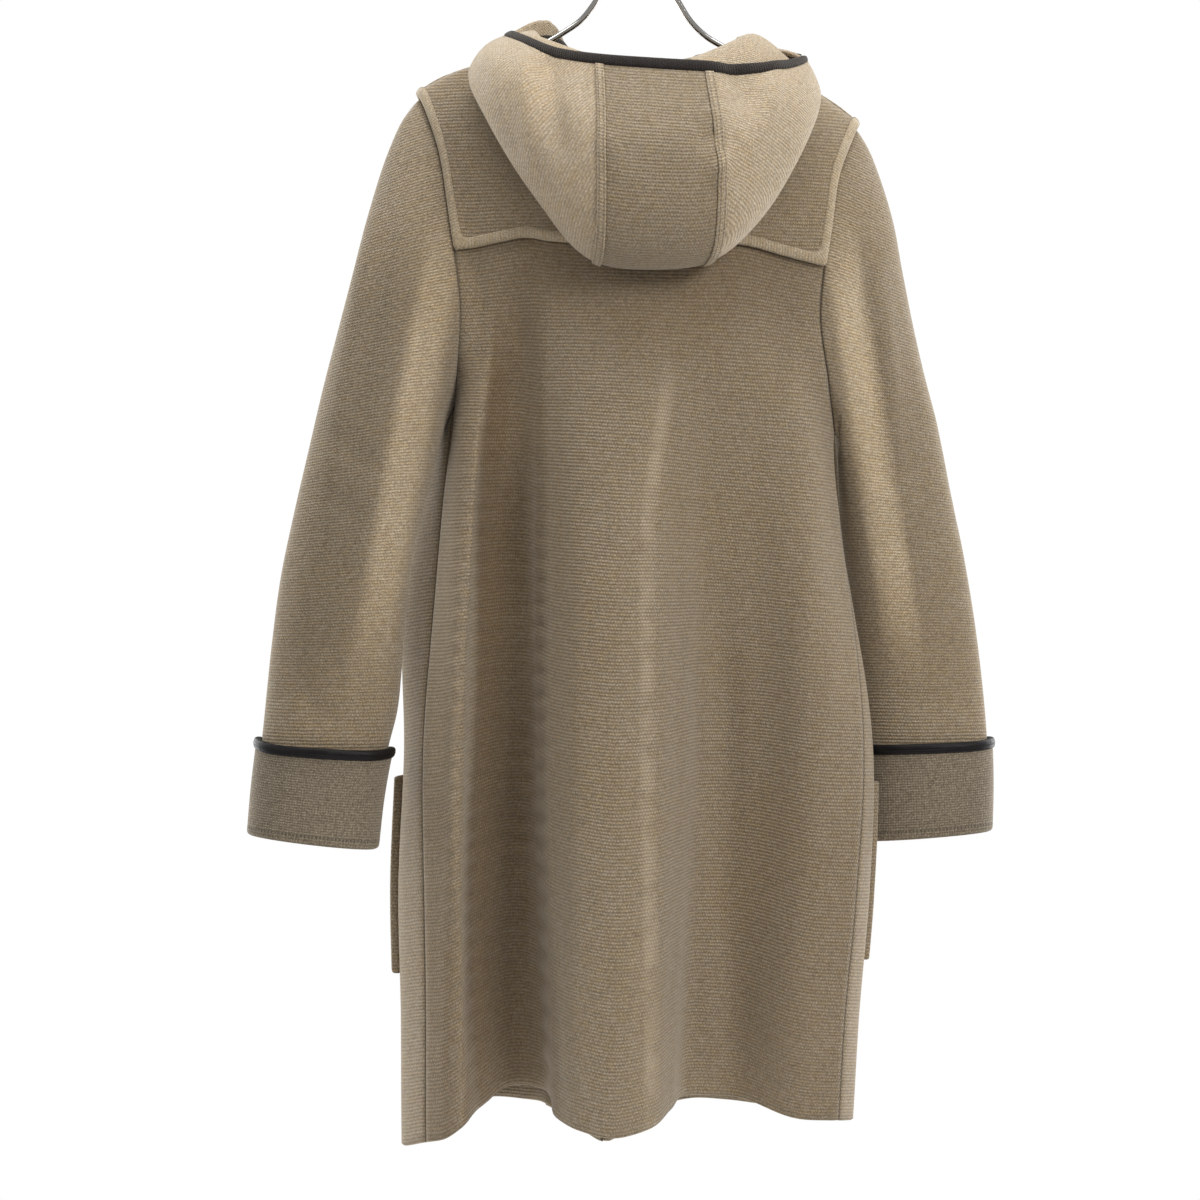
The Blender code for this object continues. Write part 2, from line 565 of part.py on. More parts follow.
def sleeve_grid(table, armhole, parts):
    """Work out a sleeve's rings: the armhole first, then ovals that the armhole's shape fades into."""
    count = len(armhole)
    half = count // 2
    length = np.concatenate([[0], np.cumsum(np.linalg.norm(np.diff(armhole[:half + 1], axis=0), axis=-1))])
    back_turn = math.pi * length / length[-1]
    length = np.concatenate([[0], np.cumsum(np.linalg.norm(np.diff(armhole[half:], axis=0), axis=-1)),
                             [0]])
    closing = np.linalg.norm(armhole[0] - armhole[-1])
    length[-1] = length[-2] + closing
    front_turn = math.pi + math.pi * length / length[-1]
    seam_turn = np.concatenate([back_turn, front_turn[1:-1]])
    even_turn = 2 * math.pi * np.arange(count) / count

    def oval(row, turn):
        outer, inner, thick = (np.asarray(v, float) for v in row)
        middle, reach = (outer + inner) / 2, (outer - inner) / 2
        round_off = np.abs(np.sin(turn)) ** 0.85 * np.sign(np.sin(turn))
        return middle + np.cos(turn)[:, None] * reach + round_off[:, None] * np.array([0, -thick, 0])

    spare = armhole - oval(table[0], seam_turn)
    rings = [armhole]
    for k, row in enumerate(table[1:], start=1):
        fade = ARMHOLE_FADE[k] if k < len(ARMHOLE_FADE) else 0.0
        turn = even_turn + (seam_turn - even_turn) * fade
        rings.append(oval(row, turn) + spare * fade)
    return smooth(np.array(rings), parts)


def ring_normals(grid):
    """Outward directions of a sleeve's rings, which point away from each ring's middle."""
    out = normals(grid, closed=True)
    middle = grid.mean(axis=1, keepdims=True)
    return out * np.sign(np.sum(out * (grid - middle), axis=-1, keepdims=True).sum(axis=1, keepdims=True))


def on_grid(grid, line, row):
    """Read a grid at a fractional line and row."""
    rows, lines = grid.shape[:2]
    r = min(int(row), rows - 2)
    c = min(int(line), lines - 2)
    u, v = line - c, row - r
    upper = grid[r, c] + (grid[r, c + 1] - grid[r, c]) * u
    lower = grid[r + 1, c] + (grid[r + 1, c + 1] - grid[r + 1, c]) * u
    return upper + (lower - upper) * v


def row_at(grid, line, drop):
    """Find the fractional row where a line reaches a drop."""
    heights = [on_grid(grid, line, r)[2] for r in range(grid.shape[0])]
    return float(np.interp(drop, heights, range(grid.shape[0])))


def body_pieces():
    """Back, fronts and sleeves: returns the grids that the trims are made from."""
    back = add_margins(smooth_grid(body_net(BACK_LINES, BACK_NECK, BACK_NECKLINE, False), 1, LINE_PARTS,
                                   BACK_NECK))
    fronts = add_margins(smooth_grid(body_net(FRONT_LINES, FRONT_NECK, FRONT_NECKLINE, True), 1, LINE_PARTS,
                                     FRONT_NECK))
    underarm = UNDERARM + 1
    back_out = normals(back)
    front_out = -normals(fronts)
    for out, neck in ((back_out, BACK_NECK), (front_out, FRONT_NECK)):
        first, last = fine(neck[0]), fine(neck[1])
        out[0, :first + 1, 1] = 0
        out[0, last:, 1] = 0
        out[0, first + 1:last, 2] = 0
    back_out, front_out = unit(back_out), unit(front_out)
    for line in (0, -1):
        shared = unit(back_out[underarm:, line] + front_out[underarm:, line])
        back_out[underarm:, line] = shared
        front_out[underarm:, line] = shared
    sleeves = {}
    for side, line, table in (("left", 0, LEFT_SLEEVE), ("right", -1, RIGHT_SLEEVE)):
        armhole = armhole_ring(back[:underarm + 1, line], fronts[:underarm + 1, line])
        grid = sleeve_grid(table, armhole, 1)
        out = ring_normals(grid)
        shared = unit(out[0] + armhole_ring(back_out[:underarm + 1, line], front_out[:underarm + 1, line]))
        shared[0] = unit(shared[0] * np.array([1, 0, 1]))
        out[0] = shared
        back_out[:underarm + 1, line] = shared[:underarm + 1]
        front_out[1:underarm, line] = shared[:underarm:-1]
        front_out[0, line], front_out[underarm, line] = shared[0], shared[underarm]
        sleeves[side] = (grid, out)

    cloth("back", inset(back, (SEAM, 0, SEAM, SEAM)), back_out, "knit")
    outer, inner = fine(OUTER_EDGE), fine(INNER_EDGE)
    left_grid, left_out = fronts[:, :inner + 1].copy(), front_out[:, :inner + 1]
    lines = np.arange(inner + 1)
    tuck = np.clip((lines - outer + 2 * LINE_PARTS) / (2 * LINE_PARTS), 0, 1)
    left_grid -= left_out * (LAP_LIFT * tuck)[None, :, None]
    right_grid, right_out = fronts[:, outer:], front_out[:, outer:]
    cloth("front_left", inset(left_grid, (SEAM, 0, SEAM, 0)), left_out, "knit")
    cloth("front_right", inset(right_grid, (SEAM, 0, 0, SEAM)), right_out, "knit")
    for side, (grid, out) in sleeves.items():
        ring = grid.copy()
        ring[0] = part_way(grid[0], grid[1], SLEEVE_SEAM)[0]
        cloth("sleeve_" + side, ring, out, "knit", closed=True)
    return back, back_out, fronts, front_out, left_grid, sleeves


def yoke_pieces(back, back_out, fronts, front_out):
    """Second layer over the shoulders, with its bindings. Its neck edge stays below the hood's seam."""
    last_row = YOKE_ROW + 2
    hem = TAPE + SLACK
    cuts = (
        # name, grid, outward directions, first line, last line, lines of the neck edge
        ("yoke_back", back, back_out, 0, back.shape[1], fine(BACK_NECK[0]), fine(BACK_NECK[1])),
        ("yoke_front_left", fronts, front_out, 0, fine(FRONT_NECK[0]) + 1, fine(FRONT_NECK[0]),
         fine(FRONT_NECK[0])),
        ("yoke_front_right", fronts, front_out, fine(FRONT_NECK[1]), fronts.shape[1], fine(FRONT_NECK[1]),
         fine(FRONT_NECK[1])),
    )
    for name, body, body_out, first, last, neck_first, neck_last in cuts:
        grid, out = body[:last_row, first:last], body_out[:last_row, first:last]
        lines = np.arange(first, last)
        top = np.where((lines >= neck_first) & (lines <= neck_last), NECK_SET, SEAM)
        path = edge_path(inset(grid, (top, 0, 0, 0)), out, ("first", "bottom", "last"))
        binding(name.replace("yoke", "yoke_binding"), path, "tape", lift=YOKE_LIFT)
        cloth(name, inset(grid, (top, hem, hem, hem)), out, "yoke", lift=YOKE_LIFT)


def cuff_pieces(sleeves):
    """Turned-back cuffs, each with a leather binding on its upper edge."""
    for side, (grid, out) in sleeves.items():
        upper, upper_out = grid[CUFF_RING:], out[CUFF_RING:]
        cuff = inset(upper, (0, SEAM, 0, 0))
        count = len(upper[0])
        path = (upper[0], upper[1], upper_out[0], upper_out[1], np.ones((count, 1)), [False] * count)
        binding("cuff_binding_" + side, path, "leather", lift=CUFF_LIFT, closed=True)
        cuff[0] = part_way(upper[0], upper[1], TAPE + SLACK)[0]
        outer = cuff + upper_out * (CUFF_LIFT + CLOTH / 2)
        inner = cuff + upper_out * (CUFF_LIFT - CLOTH / 2)
        down = unit(grid[-1] - grid[-2])
        lip_top = grid[-1] + down * SLACK
        lip_low = grid[-1] + down * (SLACK + CUFF_LIP)
        outer = np.concatenate([outer[:-1], [outer[-1] + down * (SLACK + 0.4 * CUFF_LIP)],
                                [lip_low + upper_out[-1] * (CUFF_LIFT * 0.7)],
                                [lip_low - upper_out[-1] * CLOTH / 2]])
        inner = np.concatenate([inner[:-1], [inner[-1] + down * SLACK * 0.5],
                                [lip_top + upper_out[-1] * (CUFF_LIFT - CLOTH / 2 - 0.3)],
                                [lip_top - upper_out[-1] * CLOTH / 2]])
        wall("cuff_" + side, outer, inner, "cuff", closed=True)


def hood_pieces():
    """Two side panels, the gusset between them and the opening's binding."""
    net = np.asarray(HOOD, float).transpose(1, 0, 2)
    under, fold, back = net[2], net[3], net[4]
    turn = fold + 0.3 * (back - under) + 0.1 * (back - fold)
    net = np.concatenate([net[:4], [turn], net[4:]])
    grid = smooth_grid(net, HOOD_PARTS, HOOD_PARTS)
    margin = part_way(grid[-1], grid[-2], TAPE_WIDTH)[0][None]
    grid = np.concatenate([grid[:-1], margin, grid[-1:]])
    out = -normals(grid)
    left, right = LEFT_HOOD_SEAM * HOOD_PARTS, RIGHT_HOOD_SEAM * HOOD_PARTS
    count = grid.shape[1]
    path = (grid[-1], grid[-2], out[-1], out[-2], np.ones((count, 1)), [True] * count)
    binding("hood_binding", path, "leather")
    hem = TAPE + SLACK
    grid = inset(grid, (0, hem, 0, 0))
    out[-1] = unit(out[-1] + (out[-2] - out[-1]) * hem / TAPE_WIDTH)
    cloth("hood_left", inset(grid[:, :left + 1], (0, 0, 0, SEAM)), out[:, :left + 1], "hood")
    cloth("hood_centre", inset(grid[:, left:right + 1], (0, 0, SEAM, SEAM)), out[:, left:right + 1], "hood")
    cloth("hood_right", inset(grid[:, right:], (0, 0, SEAM, 0)), out[:, right:], "hood")


def pocket_pieces(fronts, front_out):
    """Patch pockets that stand on the fronts with turned edges, open at the top."""
    base = CLOTH / 2 + SLACK
    for side, spot in POCKETS.items():
        first, last = sorted(line * LINE_PARTS + 1 for line in spot["lines"])
        upper, lower = spot["drops"]
        between = range(math.ceil(first + 0.4), math.ceil(last - 0.4))
        lines = [first, first + 0.25, *between, last - 0.25, last]
        outer, inner = [], []
        for drop, raised in ((upper, 1), (upper + 12, 1), (POCKET_MIDDLE, 1), (lower - 6, 1), (lower, 0)):
            outer_row, inner_row = [], []
            for line in lines:
                row = row_at(fronts, line, drop)
                place, out = on_grid(fronts, line, row), on_grid(front_out, line, row)
                full = raised and line not in (first, last)
                outer_row.append(place + out * (base + (POCKET_DEPTH if full else POCKET_DEPTH - 2.0)))
                inner_row.append(place + out * (base + (POCKET_DEPTH - POCKET_SKIN if full else 0.0)))
            outer.append(outer_row)
            inner.append(inner_row)
        wall("pocket_" + side, np.array(outer), np.array(inner), "knit")


def level(grid, out, drop):
    """Give each line's place and outward direction at a drop."""
    rows = [row_at(grid, line, drop) for line in range(grid.shape[1])]
    places = [on_grid(grid, line, row) for line, row in enumerate(rows)]
    return np.array(places), np.array([on_grid(out, line, row) for line, row in enumerate(rows)])


def front_spot(grids, edge, across, drop, lift):
    """Point above the fronts at a distance from the outer free edge; left of it the under front counts."""
    fronts, front_out, under = grids
    grid, out, stand = fronts, front_out, lift
    if across < 0:
        grid, out = under, front_out[:, :under.shape[1]]
        stand = lift + LAP_LIFT * max(0.0, 1 + across / LAP_RUN)
    places, outs = level(grid, out, drop)
    place = np.array([np.interp(edge + across, places[1:-1, 0], places[1:-1, k]) for k in range(3)])
    outward = unit(np.array([np.interp(edge + across, places[1:-1, 0], outs[1:-1, k]) for k in range(3)]))
    return place + outward * stand


def toggle_sets(grids):
    """Leather patches, cord loops and horn toggles down the front."""
    base = CLOTH / 2 + SLACK
    cord_lift = base + PATCH_SKIN + CORD + CLEAR
    for number, drop in enumerate(TOGGLE_DROPS, start=1):
        edge = level(grids[0], grids[1], drop)[0][fine(OUTER_EDGE), 0]
        for name, start in (("loop_patch", LOOP_PATCH), ("toggle_patch", TOGGLE_PATCH)):
            layers = []
            for lift in (base + PATCH_SKIN, base):
                layers.append(np.array([
                    [front_spot(grids, edge, start + PATCH_LENGTH * way, drop + down * PATCH_HEIGHT, lift)
                     for way in (0, 0.2, 0.4, 0.6, 0.8, 1)] for down in (-0.5, 0, 0.5)]))
            wall("%s_%d" % (name, number), *layers, "leather")
        middle = front_spot(grids, edge, TOGGLE_ACROSS, drop, cord_lift + CORD + CLEAR / 2 + TOGGLE_RADIUS)
        toggle("toggle_%d" % number, middle)
        cords = (("loop", LOOP_PATCH + CORD_START, -1),
                 ("toggle_cord", TOGGLE_PATCH + PATCH_LENGTH - CORD_START, 1))
        for name, start, way in cords:
            tip = TOGGLE_ACROSS - way * (CORD + CLEAR / 2)
            end = tip - way * CORD_SPREAD
            legs = np.linspace(start, end, 6)
            path = [front_spot(grids, edge, across, drop - CORD_SPREAD, cord_lift) for across in legs]
            path.append(front_spot(grids, edge, tip, drop, cord_lift))
            path += [front_spot(grids, edge, across, drop + CORD_SPREAD, cord_lift) for across in legs[::-1]]
            path.append(front_spot(grids, edge, start - way * CORD_SPREAD, drop, cord_lift))
            rod("%s_%d" % (name, number), path, CORD, 6, "leather", closed=True)


def toggle(name, middle):
    """Barrel-shaped horn toggle that lies across the lap."""
    sides = 10
    points, faces = [], []
    for radius, way in TOGGLE_PROFILE:
        for j in range(sides):
            angle = 2 * math.pi * j / sides
            points.append(middle + np.array([way * TOGGLE_LENGTH, TOGGLE_RADIUS * radius * math.cos(angle),
                                             TOGGLE_RADIUS * radius * math.sin(angle)]))
    for i in range(len(TOGGLE_PROFILE) - 1):
        for j in range(sides):
            m = (j + 1) % sides
            faces.append((i * sides + j, i * sides + m, (i + 1) * sides + m, (i + 1) * sides + j))
    faces.append(tuple(reversed(range(sides))))
    faces.append(tuple((len(TOGGLE_PROFILE) - 1) * sides + j for j in range(sides)))
    add_piece(name, points, faces, "horn")


def hanger_pieces():
    """Wire arms, and the hook with the ferrule that holds them."""
    left = [(x, 0, drop) for x, drop in reversed(LEFT_ARM)]
    right = [(x, 0, drop) for x, drop in RIGHT_ARM]
    rod("hanger_arms", left + [(0, 0, NECK_DROP)] + right, WIRE, 8, "chrome")
    seat = NECK_DROP - WIRE - 2 * SEAM
    low = HOOK_RADIUS * 2 - WIRE
    turns = np.radians(np.arange(-50, 196, 25))
    arc = [(HOOK_RADIUS * math.cos(a), 0, HOOK_RADIUS - WIRE - HOOK_RADIUS * math.sin(a)) for a in turns]
    top = seat - FERRULE_HEIGHT
    stem = smooth([(0, 0, top), (0, 0, low + 1.5), (2, 0, low - 0.5), (7, 0, low - 2.0)] + arc, 2)
    path = np.concatenate([[(0, 0, seat), (0, 0, top + 1), (0, 0, top + 0.1)], stem])
    radii = np.full(len(path), WIRE)
    radii[:3] = FERRULE_RADIUS, FERRULE_RADIUS, FERRULE_RADIUS - 1
    rod("hanger_hook", path, radii, 10, "chrome")


clear_scene()
back_grid, back_normals, front_grid, front_normals, under_grid, sleeve_grids = body_pieces()
yoke_pieces(back_grid, back_normals, front_grid, front_normals)
cuff_pieces(sleeve_grids)
hood_pieces()
pocket_pieces(front_grid, front_normals)
toggle_sets((front_grid, front_normals, under_grid))
hanger_pieces()
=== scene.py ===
"""Looks of a hooded knit coat that hangs on a wire hanger, seen from behind.

The back of the coat faces -Y and the origin is the inside top of the hanger's hook. Places in the tables are
(across, depth, drop) in millimetres: across is +X, depth is +Y and drop is the way down from the origin.
"""
import math

import bmesh
import bpy
import numpy as np
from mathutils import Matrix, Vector


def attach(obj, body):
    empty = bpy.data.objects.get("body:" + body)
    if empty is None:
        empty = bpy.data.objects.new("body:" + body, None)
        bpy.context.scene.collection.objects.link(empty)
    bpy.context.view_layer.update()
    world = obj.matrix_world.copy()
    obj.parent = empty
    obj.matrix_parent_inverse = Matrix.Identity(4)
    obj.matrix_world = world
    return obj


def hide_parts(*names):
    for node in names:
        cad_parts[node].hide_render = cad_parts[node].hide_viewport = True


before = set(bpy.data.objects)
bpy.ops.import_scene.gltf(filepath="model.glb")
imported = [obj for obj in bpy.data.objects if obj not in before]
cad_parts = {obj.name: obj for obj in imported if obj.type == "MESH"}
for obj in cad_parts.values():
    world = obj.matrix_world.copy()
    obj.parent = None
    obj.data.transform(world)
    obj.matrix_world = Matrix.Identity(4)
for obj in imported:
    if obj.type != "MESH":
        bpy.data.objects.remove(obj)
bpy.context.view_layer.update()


# Hanger: a chromed steel wire, 5 mm thick. The two arms are one length bent at the neck, and the hook's stem
# is pressed into a short ferrule above the bend.
MM = 0.001
WIRE = 2.5             # the wire's radius
HOOK_RADIUS = 19.0
HOOK_TURN = (-50, 196, 12)   # the hook's first angle in degrees, where it ends, and the step between points
FERRULE_RADIUS = 5.0
FERRULE_HEIGHT = 8.5
FERRULE_EDGE = 0.9     # the bevel of its rims
NECK_DROP = 50.0
CHROME_COLOUR = (0.58, 0.565, 0.54)
LEFT_ARM = (
    (-7, 54), (-13, 64), (-25, 88), (-38, 111), (-47, 122), (-64, 134), (-88, 147.8), (-113, 160.8),
    (-142, 174.8), (-160, 182.6),
)
RIGHT_ARM = (
    (7, 54), (13, 64), (26, 88), (39, 111), (44.5, 120), (52, 129), (62, 137.6), (76, 146), (88, 154.4),
    (120, 174.4), (157, 199.6), (166, 206.2),
)


class Socket:
    """A value in a material's nodes. Arithmetic on it adds Math nodes."""

    def __init__(self, finish, output):
        self.finish, self.output = finish, output

    def __add__(self, other):
        return self.finish.math("ADD", self, other)

    def __sub__(self, other):
        return self.finish.math("SUBTRACT", self, other)

    def __rsub__(self, other):
        return self.finish.math("SUBTRACT", other, self)

    def __mul__(self, other):
        return self.finish.math("MULTIPLY", self, other)

    def __pow__(self, other):
        return self.finish.math("POWER", self, other)

    __radd__ = __add__
    __rmul__ = __mul__

    def sin(self):
        return self.finish.math("SINE", self)

    def floor(self):
        return self.finish.math("FLOOR", self)

    def ramp(self, low, high):
        """Rise smoothly from 0 at `low` to 1 at `high`."""
        return self.finish.node("ShaderNodeMapRange", {"interpolation_type": "SMOOTHSTEP"},
                                {"Value": self, "From Min": low, "From Max": high})


class Finish:
    """One material: its Principled shader and the nodes that feed it."""

    def __init__(self, name, **constants):
        self.material = bpy.data.materials.new(name)
        self.material.use_nodes = True
        self.tree = self.material.node_tree
        self.shader = self.tree.nodes["Principled BSDF"]
        for socket, value in constants.items():
            self.shader.inputs[socket.replace("_", " ")].default_value = value

    def node(self, kind, settings=None, sockets=None, output=0):
        """Add a node: its settings first, then its sockets' values or links. Gives one of its outputs."""
        node = self.tree.nodes.new(kind)
        for key, value in (settings or {}).items():
            setattr(node, key, value)
        for key, value in (sockets or {}).items():
            if isinstance(value, Socket):
                self.tree.links.new(value.output, node.inputs[key])
            else:
                node.inputs[key].default_value = value
        return Socket(self, node.outputs[output])

    def math(self, operation, *values):
        return self.node("ShaderNodeMath", {"operation": operation}, dict(enumerate(values)))

    def mix(self, factor, first, second):
        """Mix two colours."""
        colours = [value if isinstance(value, Socket) else (*value, 1.0) for value in (first, second)]
        return self.node("ShaderNodeMix", {"data_type": "RGBA"}, {0: factor, 6: colours[0], 7: colours[1]}, 2)

    def place(self):
        """Give the point's place on the object."""
        return self.node("ShaderNodeTexCoord", output=3)

    def across_and_drop(self):
        """Give the point's place across and its way down from the origin, in millimetres."""
        across = self.node("ShaderNodeSeparateXYZ", None, {"Vector": self.place()})
        return across * 1000, Socket(self, across.output.node.outputs[2]) * -1000

    def along_and_down(self):
        """Give the point's place on the cut cloth, in metres: along the row, and down (negative)."""
        along = self.node("ShaderNodeSeparateXYZ", None,
                          {"Vector": self.node("ShaderNodeUVMap", {"uv_map": "cloth"})})
        return along, Socket(self, along.output.node.outputs[1])

    def noise(self, scale, detail=2.0, roughness=0.5, vector=None, stretch=None):
        """Soft random values from 0 to 1."""
        vector = vector or self.place()
        if stretch:
            vector = self.node("ShaderNodeMapping", None, {"Vector": vector, "Scale": stretch})
        return self.node("ShaderNodeTexNoise", None,
                         {"Vector": vector, "Scale": scale, "Detail": detail, "Roughness": roughness})

    def feed(self, socket, value):
        self.tree.links.new(value.output, self.shader.inputs[socket])

    def bump(self, height, distance):
        """Raise the surface by a height from 0 to 1 times a distance in metres."""
        self.feed("Normal", self.node("ShaderNodeBump", None,
                                      {"Height": height, "Distance": distance, "Strength": 1.0}))


def chrome_finish():
    """Chrome with faint drawn lines and a few dull patches where hangers rub."""
    finish = Finish("chrome", Metallic=1.0)
    dull = finish.noise(60, 3).ramp(0.52, 0.75)
    lines = finish.noise(900, 1, stretch=(1, 1, 0.05))
    finish.feed("Base Color", finish.mix(dull, CHROME_COLOUR, (0.55, 0.55, 0.56)))
    finish.feed("Roughness", 0.09 + dull * 0.16 + lines * 0.05)
    finish.bump(lines, 0.00004)
    return finish.material


def smooth(points, parts):
    """Pass a smooth curve through points (first axis) and give `parts` steps for each interval."""
    points = np.asarray(points, float)
    count = len(points)
    parts = [parts] * (count - 1) if isinstance(parts, int) else parts
    step = np.maximum(np.linalg.norm(np.diff(points, axis=0), axis=-1, keepdims=True), 1e-6)
    slope = np.diff(points, axis=0) / step
    tangent = np.empty_like(points)
    tangent[1:-1] = (step[1:] * slope[:-1] + step[:-1] * slope[1:]) / (step[1:] + step[:-1])
    tangent[0] = slope[0]
    tangent[-1] = slope[-1]
    result = []
    for i in range(count - 1):
        for j in range(parts[i]):
            t = j / parts[i]
            result.append((2 * t**3 - 3 * t**2 + 1) * points[i] + (t**3 - 2 * t**2 + t) * step[i] * tangent[i]
                          + (3 * t**2 - 2 * t**3) * points[i + 1] + (t**3 - t**2) * step[i] * tangent[i + 1])
    result.append(points[-1])
    return np.array(result)


def settle(piece, node, material):
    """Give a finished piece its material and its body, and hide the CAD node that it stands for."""
    piece.data.materials.clear()
    piece.data.materials.append(material)
    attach(piece, "root")
    if node:
        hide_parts(node)
    return piece


def deselect():
    """Leave nothing selected, so an operator works on the new piece alone."""
    for other in list(bpy.context.selected_objects):
        other.select_set(False)


def bent_wire(name, path, radius, closed=False, sides=4):
    """Bend a round bar or cord along points in millimetres, with flat caps at its ends."""
    deselect()
    bpy.ops.curve.primitive_nurbs_path_add(radius=1.0, location=(0, 0, 0))
    wire = bpy.context.object
    wire.name = wire.data.name = name
    wire.data.splines.clear()
    spline = wire.data.splines.new("POLY")
    spline.points.add(len(path) - 1)
    for point, (x, y, drop) in zip(spline.points, path):
        point.co = (x * MM, y * MM, -drop * MM, 1)
    spline.use_cyclic_u = closed
    wire.data.bevel_depth = radius * MM
    wire.data.bevel_resolution = sides
    wire.data.use_fill_caps = not closed
    bpy.ops.object.convert(target="MESH")
    wire = bpy.context.object
    bpy.ops.object.shade_smooth_by_angle(angle=math.radians(50))
    return wire


chrome = chrome_finish()
arms = [(across, 0, drop) for across, drop in (*reversed(LEFT_ARM), (0, NECK_DROP), *RIGHT_ARM)]
settle(bent_wire("hanger_wire", smooth(arms, 8), WIRE, sides=6), "hanger_arms", chrome)

seat = NECK_DROP - WIRE - 0.3                    # the ferrule's lower end, just above the arms' bend
low = HOOK_RADIUS * 2 - WIRE
turns = np.radians(np.arange(*HOOK_TURN))
arc = [(HOOK_RADIUS * math.cos(a), 0, HOOK_RADIUS - WIRE - HOOK_RADIUS * math.sin(a)) for a in turns]
stem = [(0, 0, seat - 1), (0, 0, seat - FERRULE_HEIGHT), (0, 0, low + 1.5), (2, 0, low - 0.5),
        (7, 0, low - 2)]
hook = bent_wire("hanger_hook_wire", smooth(stem + arc, 3), WIRE, sides=6)
settle(hook, "hanger_hook", chrome)

deselect()
bpy.ops.mesh.primitive_cylinder_add(vertices=32, radius=FERRULE_RADIUS * MM, depth=FERRULE_HEIGHT * MM,
                                    location=(0, 0, -(seat - FERRULE_HEIGHT / 2) * MM))
ferrule = bpy.context.object
ferrule.name = "hanger_ferrule"
bpy.ops.object.transform_apply(location=True, rotation=True, scale=True)
rim_bevel = ferrule.modifiers.new("rounded rims", "BEVEL")
rim_bevel.width = FERRULE_EDGE * MM
rim_bevel.segments = 3
bpy.ops.object.modifier_apply(modifier=rim_bevel.name)
bpy.ops.object.shade_smooth_by_angle(angle=math.radians(40))
settle(ferrule, None, chrome)


# Body: a back and two fronts of thick ripple-knit wool in a beige and brown heather. They are cut and sewn at
# the shoulders and side seams; the right front laps over the left. The sleeves are set into the armholes.
CLOTH = 2.8
CLOTH_EDGE = 0.38      # how far a rounded edge stands out, as a share of the cloth's thickness
SLACK = 0.6            # air between two layers
TAPE = 1.0             # room for a folded strip under the cloth's edge
YOKE_LIFT = CLOTH + 2 * SLACK + TAPE
LAP_LIFT = CLOTH + SLACK
SEAM_DIP = 1.7         # how far the cloth dips at its side seams
SEAM_DIP_WIDTH = 3.0
ARMHOLE_DIP = 0.8
ARMHOLE_DIP_WIDTH = 3.5
ARMHOLE_CLEAR = 30.0   # the sleeves' creases fade out over this distance from the armhole
RIDGE = 2.9            # from one knitted ridge to the next
STITCH = 2.4           # width of one stitch
SEAM_STITCH = 3.4      # length of a sewn stitch
# Control rows down the body, top edge to hem. The first nine run from the shoulder tips to the underarms.
# Columns: left and right edge of the back (across, depth, drop), left and right edge of the fronts
# (across, depth), how far the row's middle stands out past its edges, how far it has come to the chest's
# depths, and how far from the chest's depths to the hem's folds.
BODY_ROWS = (
    # back left          back right         front left     front right   out  chest  folds
    ((-185, 0, 190), (188, 0, 216), (-185, 0), (188, 0), 0, 0.00, 0.00),
    ((-183, -5, 194), (186, -5, 220), (-183, 5), (186, 5), 1, 0.00, 0.00),
    ((-178, -14, 207), (181, -14, 232), (-178, 12), (181, 12), 5, 0.00, 0.00),
    ((-167, -29, 241), (170, -29, 262), (-160, 27), (163, 27), 13, 0.00, 0.00),
    ((-159, -40, 290), (163, -40, 306), (-149, 38), (153, 38), 22, 0.20, 0.00),
    ((-154, -44, 326), (158, -44, 340), (-143, 42), (148, 42), 29, 0.40, 0.00),
    ((-149, -41, 370), (155, -41, 380), (-141, 40), (147, 40), 38, 0.65, 0.02),
    ((-152, -26, 417), (163, -26, 432), (-148, 26), (158, 26), 56, 0.88, 0.12),
    ((-156, 0, 453), (171, 0, 479), (-156, 0), (171, 0), 80, 1.00, 0.28),
    ((-164, -15, 531), (176, -8, 556), (-164, -15), (176, -8), 80, 1.00, 0.50),
    ((-172, -22, 620), (185, -16, 634), (-172, -22), (185, -16), 80, 1.00, 0.68),
    ((-181, -29, 745), (192, -34, 745), (-181, -29), (192, -34), 80, 1.00, 0.82),
    ((-181, -30, 870), (186, -42, 870), (-181, -30), (186, -42), 80, 1.00, 0.92),
    ((-179, -30, 980), (175, -45, 980), (-179, -30), (175, -45), 80, 1.00, 0.98),
    ((-178, -30, 1080), (170, -48, 1058), (-178, -30), (170, -48), 80, 1.00, 1.00),
)
UNDERARM = 8           # row of the underarms
SLOPED_ROWS = 2        # rows below this one turn from the shoulders' slope to level
BACK_LINES = (
    # name               top    chest  hem    chest  hem   drop
    ("left edge",        0.000, 0.000, 0.000, 0,    -30,  1080),
    ("left lobe",        0.070, 0.050, 0.057, -34,  -48,  1072),
    ("lobe's edge",      0.130, 0.080, 0.092, -45,  -54,  1062),
    ("left wall",        0.190, 0.110, 0.135, -54,  -24,  1052),
    ("left hollow",      0.260, 0.165, 0.205, -63,  0,    1038),
    ("hollow's side",    0.325, 0.230, 0.276, -71,  -6,   1039),
    ("rising wall",      0.385, 0.290, 0.322, -76,  -58,  1054),
    ("crest, left",      0.430, 0.350, 0.372, -79,  -90,  1058),
    ("crest, middle",    0.480, 0.430, 0.454, -82,  -101, 1062),
    ("crest, ridge",     0.535, 0.508, 0.535, -83,  -96,  1056),
    ("falling wall",     0.590, 0.580, 0.588, -80,  -58,  1048),
    ("right hollow",     0.645, 0.650, 0.632, -76,  -16,  1043),
    ("hollow's end",     0.732, 0.760, 0.755, -66,  -14,  1045),
    ("right lobe",       0.870, 0.900, 0.905, -42,  -52,  1056),
    ("right edge",       1.000, 1.000, 1.000, 0,    -48,  1058),
)
BACK_NECK = (4, 12)    # lines that start at the neck's two sides
